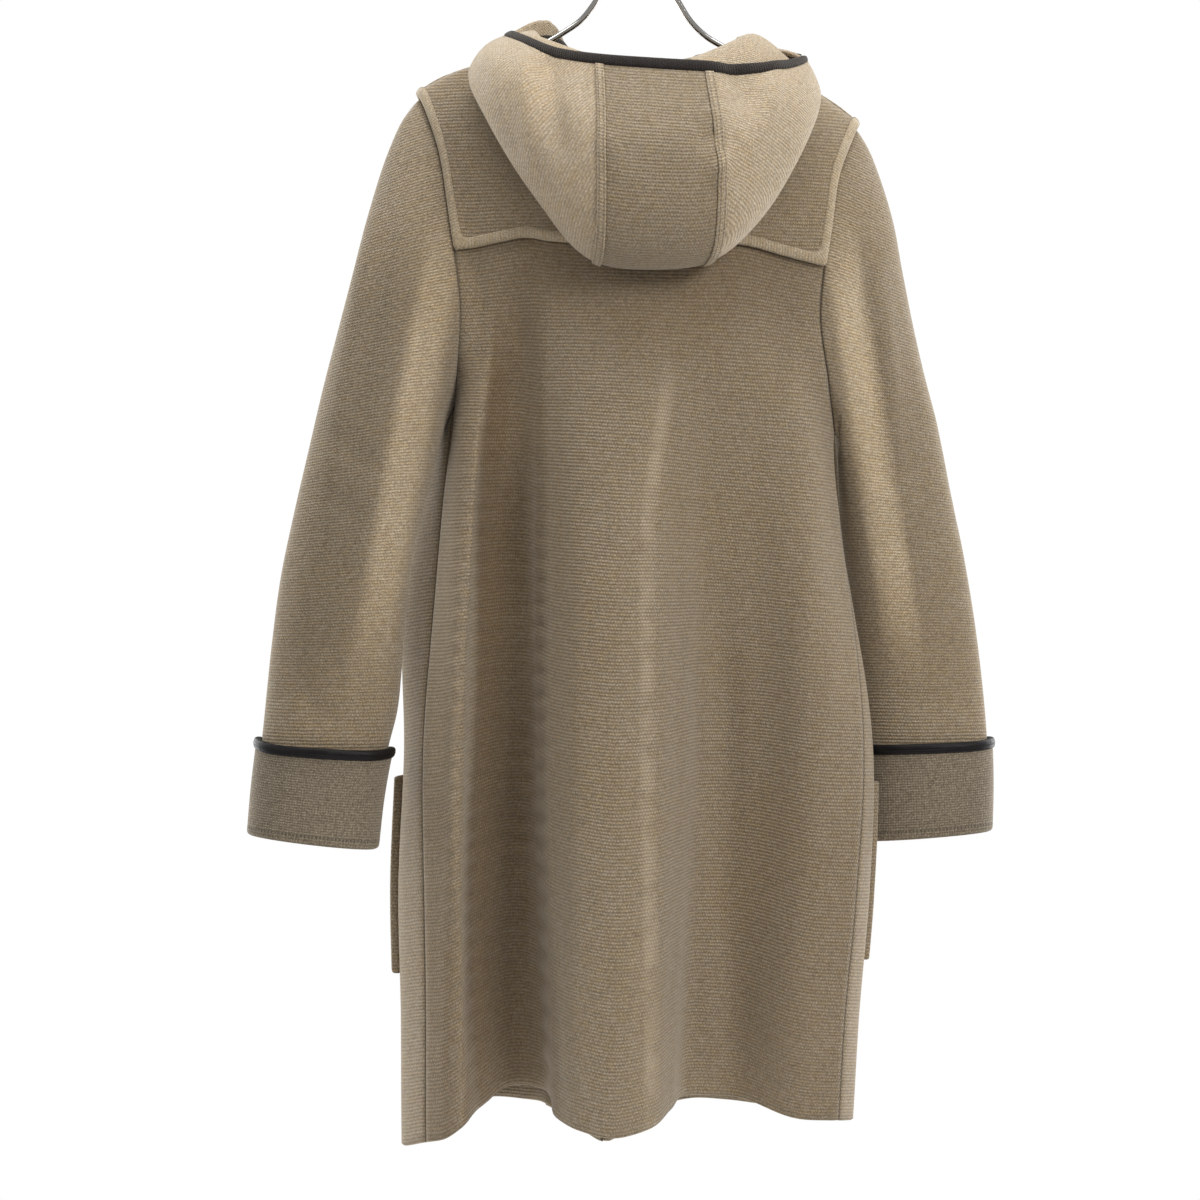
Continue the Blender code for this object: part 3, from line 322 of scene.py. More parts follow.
FRONT_LINES = (
    # name               top    chest  hem    chest  hem   drop
    ("left edge",        0.000, 0.000, 0.000, 0,    -30,  1080),
    ("left outline",     0.058, 0.055, -0.066, 36,  15,   1091),
    ("left side",        0.105, 0.085, -0.030, 52,  58,   1082),
    ("left crest",       0.165, 0.110, 0.080, 68,   88,   1070),
    ("left trough",      0.260, 0.210, 0.180, 80,   46,   1056),
    ("trough's side",    0.340, 0.290, 0.230, 86,   48,   1058),
    ("outer front edge", 0.420, 0.350, 0.285, 89,   80,   1070),
    ("lap",              0.496, 0.433, 0.360, 91,   90,   1088),
    ("inner front edge", 0.571, 0.517, 0.434, 89,   80,   1102),
    ("right slope",      0.645, 0.600, 0.520, 86,   50,   1072),
    ("right trough",     0.732, 0.690, 0.620, 80,   50,   1060),
    ("right crest",      0.810, 0.780, 0.740, 70,   86,   1066),
    ("right front",      0.875, 0.862, 0.860, 60,   68,   1068),
    ("right side",       0.912, 0.910, 0.985, 48,   22,   1066),
    ("right outline",    0.950, 0.945, 1.038, 32,   -18,  1063),
    ("right edge",       1.000, 1.000, 1.000, 0,    -48,  1058),
)
FRONT_NECK = (4, 10)
FRONT_HASTE = (10, 3)  # how soon below the underarms the left side and the rest take their hem's share
LEFT_OUTLINE = (-158, -184, -200, -199)   # across, of the left outline from the underarm's row down
OUTER_EDGE = 6         # free edge of the right front, which laps over
INNER_EDGE = 8         # free edge of the left front, which lies under
SHOULDER = (
    (-185, 0, 190), (-168, 0, 179), (-142, 0, 169), (-113, 0, 155), (-88, 0, 142),
)
SHOULDER_RIGHT = (
    (88, 0, 148), (120, 0, 168), (157, 0, 193), (172, 0, 203), (188, 0, 216),
)
BACK_NECKLINE = (
    (-88, 0, 142), (-76, -22, 153), (-60, -33, 162), (-36, -39, 170), (4, -42, 175),
    (42, -39, 171), (62, -33, 165), (78, -22, 157), (88, 0, 148),
)
FRONT_NECKLINE = (
    (-88, 0, 142), (-78, 24, 161), (-50, 44, 190), (-4, 60, 229), (4, 60, 230), (50, 44, 194),
    (80, 24, 167), (88, 0, 148),
)
LEFT_SLEEVE = (
    # outer               inner               half
    ((-185, 0, 190), (-156, 0, 453), 44),
    ((-198, -6, 209), (-161, -5, 462), 44),
    ((-210, -10, 236), (-165, -9, 471), 43),
    ((-224, -14, 279), (-168, -13, 484), 42),
    ((-239, -18, 340), (-172.5, -19, 501), 41),
    ((-252, -20, 391), (-176.5, -24, 522), 40),
    ((-265, -22, 442), (-183, -28, 545), 39),
    ((-277, -24, 493), (-189, -30, 570), 38),
    ((-289, -25, 544), (-194, -30, 602), 37),
    ((-301, -25, 602), (-198, -30, 640), 36),
    ((-308, -25, 655), (-201, -30, 680), 35),
    ((-313, -25, 702), (-205, -28, 715), 34),
    ((-317, -25, 740), (-213, -25, 746), 33),
    ((-322, -25, 781), (-221, -25, 790), 32),
    ((-325, -25, 816), (-225, -25, 828), 32),
)
RIGHT_SLEEVE = (
    ((188, 0, 216), (171, 0, 479), 44),
    ((199, 4, 233), (177, 5, 485), 44),
    ((210, 9, 258), (179, 14, 494), 43),
    ((221, 14, 291), (177, 24, 505), 42),
    ((230, 20, 335), (176, 33, 520), 41),
    ((239, 25, 380), (177, 41, 542), 40),
    ((249, 30, 423), (177, 47, 565), 39),
    ((261, 34, 468), (181, 51, 592), 38),
    ((273, 38, 525), (184, 54, 625), 37),
    ((286, 42, 582), (187, 55, 655), 36),
    ((296, 45, 637), (190, 55, 684), 35),
    ((303, 48, 689), (193, 54, 710), 34),
    ((307, 48, 738), (196, 52, 742), 33),
    ((308, 48, 784), (199, 50, 793), 32),
    ((307, 48, 819), (199, 50, 828), 32),
)
ARMHOLE_FADE = (1.0, 0.8, 0.55, 0.3, 0.12, 0.03)
ROW_PARTS = (2, 3, 6, 8, 6, 7, 8, 6, 11, 13, 18, 18, 16, 14)   # grid rows for each row of the table
LINE_PARTS = 8
EDGE_LINES = 4         # grid lines over which a panel turns to its seam's directions
EDGE_RINGS = 3         # rings over which a sleeve turns to them
BULGE_FLATNESS = 2.4   # above 2, the back and the fronts are flatter in the middle than a round bulge
LEVELLING = 0.7        # below 1, the rows turn to level sooner below the shoulders
SLEEVE_ROUNDNESS = 0.85   # below 1, the sleeves' ovals are a little boxy
CREASE_STEPS = 36      # points along a crease
SLEEVE_PARTS = (3, 4, 6, 8, 7, 7, 7, 7, 8, 8, 7, 6, 6, 5)
SLEEVE_TILT = 0.4      # how steeply the ridges fall at the shoulder; from TILT_ENDS down they are level
TILT_ENDS = 700.0
TILT_FADES = 500.0     # the tilt fades out over this distance above TILT_ENDS
BODY_FLAT = {          # each panel's cut: width, length and area in metres
    "back": (0.50, 0.92, 0.41), "front_left": (0.42, 0.97, 0.245), "front_right": (0.42, 0.97, 0.27),
    "sleeve_left": (0.40, 0.66, 0.162), "sleeve_right": (0.40, 0.66, 0.153),
}
# Soft creases: name, three places (across, drop) that the crease passes, width, and height (minus is a
# hollow).
BACK_CREASES = (
    ("hollow's upper end",  (-104, 340), (-106, 480), (-108, 640), 17, -11.5),
    ("hollow by the lobe",  (-124, 400), (-133, 760), (-138, 1110), 12, -9.0),
    ("left hollow",         (-110, 500), (-113, 800), (-116, 1110), 14, -5.0),
    ("hollow's right half", (-97, 480), (-99, 800),  (-96, 1110), 12, -10.0),
    ("lobe's sharp edge",   (-142, 430), (-153, 780), (-160, 1080), 7,  4.0),
    ("crest's left edge",   (-80, 400), (-79, 700),  (-68, 1110), 8, 6.5),
    ("right hollow",        (72, 600),  (80, 820),   (84, 1090), 14, -6.0),
    ("right crest's edge",  (52, 780),  (62, 900),   (68, 1080), 9, 2.2),
    ("ridge by the crest",  (26, 432),  (12, 620),   (14, 1000), 9,  1.6),
    ("soft hollow",         (44, 660),  (56, 760),   (62, 900),  7,  -1.6),
    ("under the yoke",      (-120, 340), (-96, 400), (-86, 470), 10, -1.5),
    ("right shoulder drag", (140, 360), (112, 440),  (98, 540),  11, -1.4),
    ("right side drag",     (158, 520), (140, 640),  (132, 780), 9,  1.2),
)
FRONT_CREASES = (
    ("left chest",          (-120, 380), (-96, 470), (-84, 600), 10, -1.6),
    ("right chest",         (128, 400),  (100, 490), (86, 620),  10, -1.6),
    ("right crest's edge",  (96, 700),   (104, 850), (108, 1010), 9, 1.8),
    ("left crest's edge",   (-120, 760), (-126, 880), (-130, 1020), 9, 1.6),
    ("across the lap",      (-20, 720),  (-30, 850), (-42, 1000), 8, -1.2),
)
LEFT_SLEEVE_CREASES = (
    ("elbow, upper",        (-262, 470), (-236, 500), (-206, 512), 10, -2.0),
    ("elbow, lower",        (-272, 520), (-244, 545), (-214, 552), 9,  -1.6),
    ("above the cuff",      (-288, 692), (-264, 716), (-236, 724), 7,  -1.5),
    ("cuff drag",           (-296, 640), (-280, 690), (-262, 728), 8,  -1.3),
    ("armhole pull",        (-196, 330), (-186, 400), (-176, 470), 10, -1.5),
    ("long hollow",         (-206, 300), (-222, 400), (-240, 520), 8, -3.4),
    ("long ridge",          (-222, 290), (-240, 400), (-262, 560), 9, 3.2),
    ("inner ridge",         (-172, 330), (-190, 450), (-204, 540), 8, 3.0),
    ("inner hollow",        (-196, 470), (-214, 600), (-216, 730), 8, -3.2),
)
RIGHT_SLEEVE_CREASES = (
    ("elbow, upper",        (262, 470), (238, 505), (206, 520), 10, -1.8),
    ("elbow, lower",        (280, 545), (250, 572), (214, 580), 9,  -1.6),
    ("above the cuff",      (290, 690), (262, 708), (226, 706), 7,  -1.4),
    ("armhole pull",        (206, 330), (196, 420), (190, 500), 10, -1.5),
    ("long hollow",         (190, 300), (199, 400), (212, 530), 8, -4.0),
    ("long ridge",          (206, 340), (219, 450), (234, 620), 9, 3.6),
)


def unit(vectors):
    """Scale each vector to length 1."""
    return vectors / np.maximum(np.linalg.norm(vectors, axis=-1, keepdims=True), 1e-9)


def smooth_grid(net, row_parts, line_parts, corners=()):
    """Pass a smooth surface through a net of points whose top edge may turn sharply at some lines."""
    rows = smooth(net, row_parts)
    grid = smooth(rows.transpose(1, 0, 2), line_parts).transpose(1, 0, 2)
    stops = (0, *corners, net.shape[1] - 1)
    if corners:
        stretches = [smooth(net[0, a:b + 1], line_parts) for a, b in zip(stops, stops[1:])]
        grid[0] = np.concatenate([stretches[0]] + [stretch[1:] for stretch in stretches[1:]])
    return grid


def normals(grid, closed=False):
    """Give each grid point's outward direction, for rows that run downwards and lines that run to +X."""
    down = np.gradient(grid, axis=0)
    if closed:
        along = np.roll(grid, -1, axis=1) - np.roll(grid, 1, axis=1)
    else:
        along = np.gradient(grid, axis=1)
    return unit(np.cross(along, down))


def read_edge(table, across):
    """Read a seam table at the places across."""
    table = smooth(table, 6)
    return np.stack([across, np.interp(across, table[:, 0], table[:, 1]),
                     np.interp(across, table[:, 0], table[:, 2])], axis=-1)


def top_edge(lines, neck, neckline):
    """Give the top point of each line, on a shoulder seam or on the neckline between them."""
    left, right = SHOULDER[0][0], SHOULDER_RIGHT[-1][0]
    across = np.array([left + (right - left) * line[1] for line in lines])
    points = np.zeros((len(lines), 3))
    first, last = neck
    across[first], across[last] = neckline[0][0], neckline[-1][0]
    points[:first + 1] = read_edge(SHOULDER, across[:first + 1])
    points[last:] = read_edge(SHOULDER_RIGHT, across[last:])
    points[first + 1:last] = read_edge(neckline, across[first + 1:last])
    return points


def body_net(lines, neck, neckline, front):
    """Work out the control net of the back or the fronts, with a row for each body row."""
    top = top_edge(lines, neck, neckline)
    top_share, chest_share, hem_share, chest_depth, hem_depth, hem_drop = (
        np.array([line[k] for line in lines], float) for k in range(1, 7))
    net = np.zeros((len(BODY_ROWS), len(lines), 3))
    tip_left, tip_right = BODY_ROWS[0][0][2], BODY_ROWS[0][1][2]
    arm_left, arm_right = BODY_ROWS[UNDERARM][0][2], BODY_ROWS[UNDERARM][1][2]
    last_left, last_right = BODY_ROWS[-1][0][2], BODY_ROWS[-1][1][2]
    chest_drop = arm_left + (arm_right - arm_left) * chest_share
    for r, (left, right, front_left, front_right, bulge, chest, folds) in enumerate(BODY_ROWS):
        if front:
            left, right = (*front_left, left[2]), (*front_right, right[2])
        if r <= UNDERARM:
            blend = r / UNDERARM
            share = top_share + (chest_share - top_share) * blend
            way_left = (left[2] - tip_left) / (arm_left - tip_left)
            way_right = (right[2] - tip_right) / (arm_right - tip_right)
            way = way_left + (way_right - way_left) * share
            drop = top[:, 2] + (chest_drop - top[:, 2]) * way
            level = max(0.0, (r - SLOPED_ROWS) / (UNDERARM - SLOPED_ROWS))
            levelled = (3 * level**2 - 2 * level**3) ** LEVELLING
            drop += (left[2] + (right[2] - left[2]) * share - drop) * levelled
            stand = (bulge if front else -bulge) * (1 - np.abs(2 * share - 1) ** BULGE_FLATNESS)
            upper = left[1] + (right[1] - left[1]) * share + stand + top[:, 1] * (1 - way) ** 3
            smooth_depth = upper + (chest_depth - upper) * chest
        else:
            way_left = (left[2] - arm_left) / (last_left - arm_left)
            way_right = (right[2] - arm_right) / (last_right - arm_right)
            haste = np.interp(chest_share, (0, 0.2), FRONT_HASTE) if front else 1
            turn = 1 - (1 - way_left) ** haste
            share = chest_share + (hem_share - chest_share) * turn
            way = way_left + (way_right - way_left) * share
            drop = chest_drop + (hem_drop - chest_drop) * way
            smooth_depth = chest_depth
        net[r, :, 0] = left[0] + (right[0] - left[0]) * share
        net[r, :, 1] = smooth_depth + (hem_depth - smooth_depth) * folds
        net[r, :, 2] = drop
        net[r, 0] = left
        net[r, -1] = right
    if front:
        net[UNDERARM:UNDERARM + len(LEFT_OUTLINE), 1, 0] = LEFT_OUTLINE
    net[0] = top
    return net


def armhole_ring(back_edge, front_edge):
    """Close an armhole: down its back edge from the shoulder tip and up its front edge."""
    return np.concatenate([back_edge, front_edge[-2:0:-1]])


def sleeve_grid(table, armhole, parts):
    """Work out a sleeve's rings: the armhole first, then ovals that the armhole's shape fades into."""
    count = len(armhole)
    half = count // 2
    length = np.concatenate([[0], np.cumsum(np.linalg.norm(np.diff(armhole[:half + 1], axis=0), axis=-1))])
    back_turn = math.pi * length / length[-1]
    length = np.concatenate([[0], np.cumsum(np.linalg.norm(np.diff(armhole[half:], axis=0), axis=-1))])
    closing = np.linalg.norm(armhole[0] - armhole[-1])
    front_turn = math.pi + math.pi * length / (length[-1] + closing)
    seam_turn = np.concatenate([back_turn, front_turn[1:]])
    even_turn = 2 * math.pi * np.arange(count) / count

    def oval(row, turn):
        outer, inner, thick = (np.asarray(v, float) for v in row)
        middle, reach = (outer + inner) / 2, (outer - inner) / 2
        round_off = np.abs(np.sin(turn)) ** SLEEVE_ROUNDNESS * np.sign(np.sin(turn))
        return middle + np.cos(turn)[:, None] * reach + round_off[:, None] * np.array([0, -thick, 0])

    spare = armhole - oval(table[0], seam_turn)
    rings = [armhole]
    for k, row in enumerate(table[1:], start=1):
        fade = ARMHOLE_FADE[k] if k < len(ARMHOLE_FADE) else 0.0
        turn = even_turn + (seam_turn - even_turn) * fade
        rings.append(oval(row, turn) + spare * fade)
    return smooth(np.array(rings), parts)


def ring_normals(grid):
    """Give the outward directions of a sleeve's rings, which point away from each ring's middle."""
    out = normals(grid, closed=True)
    middle = grid.mean(axis=1, keepdims=True)
    return out * np.sign(np.sum(out * (grid - middle), axis=-1, keepdims=True).sum(axis=1, keepdims=True))


def blend_edge(out, line, shared):
    """Turn a panel's outward directions to those of its seam over a few lines."""
    steps = range(EDGE_LINES) if line == 0 else range(-1, -1 - EDGE_LINES, -1)
    for k, c in enumerate(steps):
        share = 1 - k / EDGE_LINES
        out[:, c] = unit(out[:, c] * (1 - share) + shared * share)


def press(grid, out, creases, facing=0):
    """Press soft creases into a grid, and slow waves, because cloth is never quite flat.

    With `facing` -1 or 1 the creases are on its back or front half only.
    """
    across, drop = grid[..., 0], grid[..., 2]
    shift = 0.5 * np.sin(across / 31 + drop / 83) + 0.4 * np.sin(drop / 47 - across / 67 + 1.3)
    if facing:
        half = np.clip(out[..., 1] * facing * 2, 0, 1)
        shift = shift * 0.6
    else:
        half = 1.0
    t = np.linspace(0, 1, CREASE_STEPS)
    for number, (_, start, middle, end, width, height) in enumerate(creases):
        start, middle, end = (np.array(p, float) for p in (start, middle, end))
        bend = 2 * middle - (start + end) / 2
        curve = ((1 - t)**2)[:, None] * start + (2 * t * (1 - t))[:, None] * bend + (t**2)[:, None] * end
        distance = np.hypot(across[..., None] - curve[:, 0], drop[..., None] - curve[:, 1])
        nearest = np.argmin(distance, axis=-1)
        fade = np.sin(np.pi * t)[nearest]**0.7 * (1 + 0.22 * np.sin(9 * t + number)[nearest])
        shift = shift + half * height * fade * np.exp(-(distance.min(axis=-1) / width)**2)
    return grid + out * shift[..., None]


def lengths(points, axis):
    """Give the running length along one axis of a grid."""
    step = np.linalg.norm(np.diff(points, axis=axis), axis=-1)
    start = np.zeros_like(np.take(step, [0], axis=axis))
    return np.concatenate([start, np.cumsum(step, axis=axis)], axis=axis)


def seam_roll(grid, out):
    """Let the cloth dip a little towards its side seams."""
    run = lengths(grid, 1)
    dip = sum(SEAM_DIP * np.exp(-(way / SEAM_DIP_WIDTH)**2) for way in (run, run[:, -1:] - run))
    return grid - out * dip[..., None]


def cloth_map(grid, closed=False):
    """Give a cut panel's flat coordinates in metres: along the row from its middle, and down the panel."""
    if closed:
        grid = np.concatenate([grid, grid[:, :1]], axis=1)
    run = lengths(grid, 1)
    middle = run.shape[1] // 2
    down = np.broadcast_to(-lengths(grid, 0).mean(axis=1)[:, None], run.shape)
    return np.stack([run - run[:, middle:middle + 1], down], axis=-1) * MM


def charted_mesh(name, points, faces, chart):
    """Make a mesh from places in metres, with the flat coordinates of each face corner as its UV map."""
    mesh = bpy.data.meshes.new(name)
    mesh.from_pydata(points.tolist(), [], faces)
    layer = mesh.uv_layers.new(name="cloth")
    layer.data.foreach_set("uv", np.ravel(chart))
    return mesh


def hang_up(name, mesh):
    """Put a finished mesh in the scene, smoothly shaded."""
    mesh.shade_smooth()
    piece = bpy.data.objects.new(name, mesh)
    bpy.context.collection.objects.link(piece)
    return piece


def cloth_piece(name, grid, out, thick=CLOTH, lift=0.0, closed=False, chart=None, sewn=False):
    """Make a cloth wall with soft round edges from its middle surface.

    With `sewn` its two side edges, or a tube's first row, are marked as seams.
    """
    rows, lines = grid.shape[:2]
    chart = cloth_map(grid, closed) if chart is None else chart
    width = chart.shape[1]
    outer = grid + out * (lift + thick / 2)
    inner = grid + out * (lift - thick / 2)
    middle = grid + out * lift
    turns = lines if closed else lines - 1
    r, c = np.meshgrid(np.arange(rows - 1), np.arange(turns), indexing="ij")
    corners = [(r, c), (r, c + 1), (r + 1, c + 1), (r + 1, c)]
    quads = np.stack([a * lines + b % lines for a, b in corners], axis=-1).reshape(-1, 4)
    charts = np.stack([a * width + b for a, b in corners], axis=-1).reshape(-1, 4)
    count = rows * lines
    if closed:
        loops = [[(0, k) for k in range(lines + 1)], [(rows - 1, k) for k in range(lines, -1, -1)]]
    else:
        loops = [[(0, k) for k in range(lines)] + [(k, lines - 1) for k in range(1, rows)]
                 + [(rows - 1, k) for k in range(lines - 2, -1, -1)]
                 + [(k, 0) for k in range(rows - 2, -1, -1)]]
    extra, sides, side_charts = [], [], []
    for loop in loops:
        start = 2 * count + len(extra)
        size = len(loop) - 1
        for a, b in loop[:-1]:
            near_row = 1 if a == 0 else rows - 2 if a == rows - 1 else a
            near_line = b if closed else 1 if b == 0 else lines - 2 if b == lines - 1 else b
            away = unit(middle[a, b % lines] - middle[near_row, near_line % lines])
            extra.append(middle[a, b % lines] + away * thick * CLOTH_EDGE)
        for k in range(size):
            (a, b), (a2, b2) = loop[k], loop[k + 1]
            one, two = a * lines + b % lines, a2 * lines + b2 % lines
            mid, mid2 = start + k, start + (k + 1) % size
            chart_one, chart_two = a * width + b, a2 * width + b2
            sides += [(two, one, mid, mid2), (mid2, mid, count + one, count + two)]
            side_charts += [(chart_two, chart_one, chart_one, chart_two)] * 2
    points = np.concatenate([outer.reshape(-1, 3), inner.reshape(-1, 3), np.array(extra)])
    points = points * (MM, MM, -MM)
    faces = np.concatenate([quads, quads[:, ::-1] + count, np.array(sides)])
    face_charts = np.concatenate([charts, charts[:, ::-1], np.array(side_charts)])
    ahead = points[quads[:, 1]] - points[quads[:, 0]]
    below = points[quads[:, 3]] - points[quads[:, 0]]
    lifted = (out * (1, 1, -1)).reshape(-1, 3)[quads[:, 0]]
    if np.sum(np.cross(ahead, below) * lifted) < 0:
        faces, face_charts = faces[:, ::-1], face_charts[:, ::-1]
    mesh = charted_mesh(name, points, faces.tolist(), chart.reshape(-1, 2)[face_charts.ravel()])
    if sewn:
        near = np.zeros((rows, lines))
        near[(0,) if closed else (slice(None), [0, -1])] = 1.0
        rims = [near[a, b % lines] for loop in loops for a, b in loop[:-1]]
        mark = mesh.attributes.new("seam", "FLOAT", "POINT")
        mark.data.foreach_set("value", np.concatenate([near.ravel(), near.ravel(), rims]))
    return hang_up(name, mesh)


GOLDEN = (0.97, 0.88, 0.71)          # the golden yarn's colour, as shares of the light yarn's
PAINTED_SHADE_TINT = (0.5, 0.33, 0.12)           # painted shade's colour, as shares of the dark yarn's
# the palest colour that the painted highlight may give the wool
PALEST_WOOL = (0.66, 0.57, 0.45)


def knit_finish(name, light, dark, ridge=RIDGE, stitch=STITCH, relief=1.0, fuzz=0.3, wear_and_highlight=None, shade=None,
                gain=None, sewn=None):
    """Ripple knit in heather wool: ridges across the cloth, stitches along each, loose fibres over all.

    The yarn drifts between grey beige and golden brown, and `fuzz` is how much its loose fibres shine.
    `wear_and_highlight` gives the share of paler cloth, from flattened fibres and painted highlight, `shade`
    the share of painted shade, and `gain` the factor by which painted highlight makes the wool paler and
    painted shade makes it darker. `sewn` is how far in millimetres two rows of stitches lie from a strip's
    middle.
    """
    finish = Finish(name, Sheen_Weight=fuzz, Sheen_Roughness=0.5, Sheen_Tint=(1.0, 0.94, 0.85, 1.0),
                    Specular_IOR_Level=0.15)
    along, down = finish.along_and_down()
    place = finish.place()
    sway = finish.noise(16, 2, vector=place)
    tremor = finish.noise(330, 3, 0.6, vector=place)
    course = down * (1000 / ridge) + sway * 0.8 + tremor * 0.5
    row = course.floor()
    wale = along * (1000 / stitch) + row * 0.5 + tremor * 0.8
    swell = (course * 2 * math.pi).sin() * 0.5 + 0.5
    loop = (wale * 2 * math.pi).sin() * 0.5 + 0.5
    height = swell * 0.55 + swell * loop * 0.3 + loop * 0.15
    strand = finish.node("ShaderNodeCombineXYZ", None, {"X": along * 90, "Y": row * 0.73, "Z": 0.0})
    streak = finish.noise(1.0, 2, 0.6, vector=strand)
    heather = finish.noise(560, 3, 0.7, vector=place)
    fleck = finish.noise(1300, 2, 0.6, vector=place)
    cloudy = finish.noise(11, 3, 0.55, vector=place)
    patchy = finish.noise(150, 2, 0.6, vector=place)
    golden = tuple(v * share for v, share in zip(light, GOLDEN))
    painted_shade_colour = tuple(v * share for v, share in zip(dark, PAINTED_SHADE_TINT))
    yarn = finish.mix(streak.ramp(0.42, 0.62) * 0.7 + cloudy.ramp(0.4, 0.65) * 0.3, light, golden)
    colour = finish.mix(heather.ramp(0.36, 0.64) * 0.62 + patchy.ramp(0.4, 0.7) * 0.12, yarn, dark)
    colour = finish.mix(fleck.ramp(0.52, 0.68) * 0.5, colour, tuple(min(1, 1.6 * v) for v in light))
    # Painted shade: the colour is darker in the valleys between the ridges and the stitches' loops.
    valley = 1 - height
    colour = finish.mix(valley * (0.48 * relief), colour, tuple(0.35 * v for v in dark))
    # Painted shade: the cloth is darker along its marked seam edges, where the seam dips.
    seam = finish.node("ShaderNodeAttribute", {"attribute_name": "seam"}, output=2).ramp(0.6, 0.97)
    colour = finish.mix(seam * 0.75, colour, tuple(0.3 * v for v in dark))
    # Painted highlight: paler where the mask gives it; on the back's crest it also stands for flattened
    # fibres.
    if wear_and_highlight:
        colour = finish.mix(wear_and_highlight(finish), colour, tuple(1.25 * v for v in light))
    # Painted shade: darker where the mask gives it.
    if shade:
        colour = finish.mix(shade(finish), colour, painted_shade_colour)
    # Painted highlight and painted shade as a factor on the colour, capped at PALEST_WOOL.
    if gain:
        colour = finish.node("ShaderNodeVectorMath", {"operation": "SCALE"},
                             {"Vector": colour, "Scale": gain(finish)})
        colour = finish.node("ShaderNodeVectorMath", {"operation": "MINIMUM"}, {0: colour, 1: PALEST_WOOL})
    height = height * 0.6 + heather * 0.26 + fleck * 0.16
    if sewn:
        groove = 1 - ((finish.math("ABSOLUTE", along * 1000) - sewn)**2).ramp(0.05, 0.8)
        thread = groove * (down * (1000 * 2 * math.pi / SEAM_STITCH)).sin().ramp(-0.2, 0.4)
        # Painted shade in the stitches' groove; the thread's paler colour is its own.
        colour = finish.mix(groove * 0.4, colour, tuple(0.4 * v for v in dark))
        colour = finish.mix(thread * 0.3, colour, light)
        height = height - groove * 1.0 + thread * 0.5
    finish.feed("Base Color", colour)
    finish.feed("Roughness", 0.86 + heather * 0.12)
    finish.bump(height, 0.0010 * relief)
    return finish.material


KNIT_LIGHT = (0.40, 0.328, 0.236)
KNIT_DARK = (0.150, 0.112, 0.070)
LOBE_EDGE = (-162, -144)             # across, where the left lobe's painted highlight ends
# How much paler the crest line (flattened fibres and painted highlight) and the left lobe (painted highlight)
# make the back's knit.
CREST_PALER, LOBE_PALER = 0.4, 0.34
# Shares of painted shade: in the deep fold, extra at its left side, in the hood's shadow, at the lower right
# and at the lower left.
FOLD_DARKER, DEEP_DARKER, HOOD_DARKER, RIGHT_DARKER, LEFT_DARKER = 0.3, 0.24, 0.3, 0.16, 0.3
FOLD_TOP = 369                       # drop of the sleeves' inner folds' upper ends
FOLD_SLOPE = 0.176                   # how far the folds run outwards for each millimetre down
HOLLOW_BESIDE = 44                   # from the inner fold to the hollow's middle
SLEEVE_FOLDS = {                     # the fold's upper end across, how much paler its painted highlight and how much darker the hollow's painted shade
    "left": (170, 0.56, 0.24), "right": (181, 0.98, 0.0),
}


def crest_wear_and_highlight(finish):
    """Give the share of paler cloth: a line down the crest in the middle of the back, partly flattened fibres
    and partly a painted highlight, and the left lobe, a painted highlight.
    """
    across, drop = finish.across_and_drop()
    crest = 28 - 20 * drop.ramp(400, 580) + 4 * drop.ramp(700, 1000)
    line = 1 - ((across - crest)**2).ramp(0, 70)
    left_of_it = (1 - (crest + 2 - across).ramp(0, 40)) * (across - crest).ramp(4, 0)
    crest_line_wear_and_highlight = (line * 0.7 + left_of_it * 0.3) * drop.ramp(400, 480) * finish.noise(30, 2).ramp(0.2, 0.6)
    lobe = (1 - across.ramp(*LOBE_EDGE)) * drop.ramp(330, 420) * (1 - drop.ramp(560, 860))
    return crest_line_wear_and_highlight * CREST_PALER + lobe * LOBE_PALER


def fold_shade(finish):
    """Give the share of painted shade: in the deep fold, the hood's painted shadow below it, at the lower
    right and lower left.
    """
    across, drop = finish.across_and_drop()
    left = -121 - 14 * drop.ramp(380, 560) - 9 * drop.ramp(650, 880)
    right = -77 + 11 * drop.ramp(780, 1010)
    fold = (across - left).ramp(-4, 3) * (1 - (across - right).ramp(-5, 5)) * drop.ramp(340, 440)
    deep = fold * (1 - (across - left).ramp(12, 34))
    under_hood = (1 - drop.ramp(330, 450)) * across.ramp(-130, -80) * (1 - across.ramp(110, 170))
    lower_right = across.ramp(60, 85) * drop.ramp(560, 900)
    lower_left = (1 - across.ramp(-164, -144)) * drop.ramp(740, 960)
    return (fold * FOLD_DARKER + deep * DEEP_DARKER + under_hood * HOOD_DARKER + lower_right * RIGHT_DARKER
            + lower_left * LEFT_DARKER)


def sleeve_fold(start, paler, darker):
    """Paint a highlight along a sleeve's inner fold, paler by a share, and painted shade in the hollow
    outside it, darker by a share.
    """
    def gain(finish):
        across, drop = finish.across_and_drop()
        fold_across = (drop - FOLD_TOP) * FOLD_SLOPE + start
        beside = finish.math("ABSOLUTE", across) - fold_across
        fold = (1 - (beside**2).ramp(0, 420)) * drop.ramp(270, 420) * (1 - drop.ramp(570, 710))
        hollow = 1 - ((beside - HOLLOW_BESIDE)**2).ramp(0, 1300)
        hollow = hollow * drop.ramp(290, 380) * (1 - drop.ramp(640, 760))
        return fold * paler - hollow * darker + 1
    return gain


# Each sleeve's knit has a painted highlight along its inner fold and painted shade in the hollow beside it.
sleeve_knit = {
    side: knit_finish("sleeve_" + side + "_knit", KNIT_LIGHT, KNIT_DARK, gain=sleeve_fold(*fold))
    for side, fold in SLEEVE_FOLDS.items()
}
knit = knit_finish("knit", KNIT_LIGHT, KNIT_DARK)
# The back's knit has a painted highlight on its crest and left lobe, and painted shade in its deep fold,
# under the hood and at its lower corners.
back_knit = knit_finish("back_knit", KNIT_LIGHT, KNIT_DARK, wear_and_highlight=crest_wear_and_highlight, shade=fold_shade)

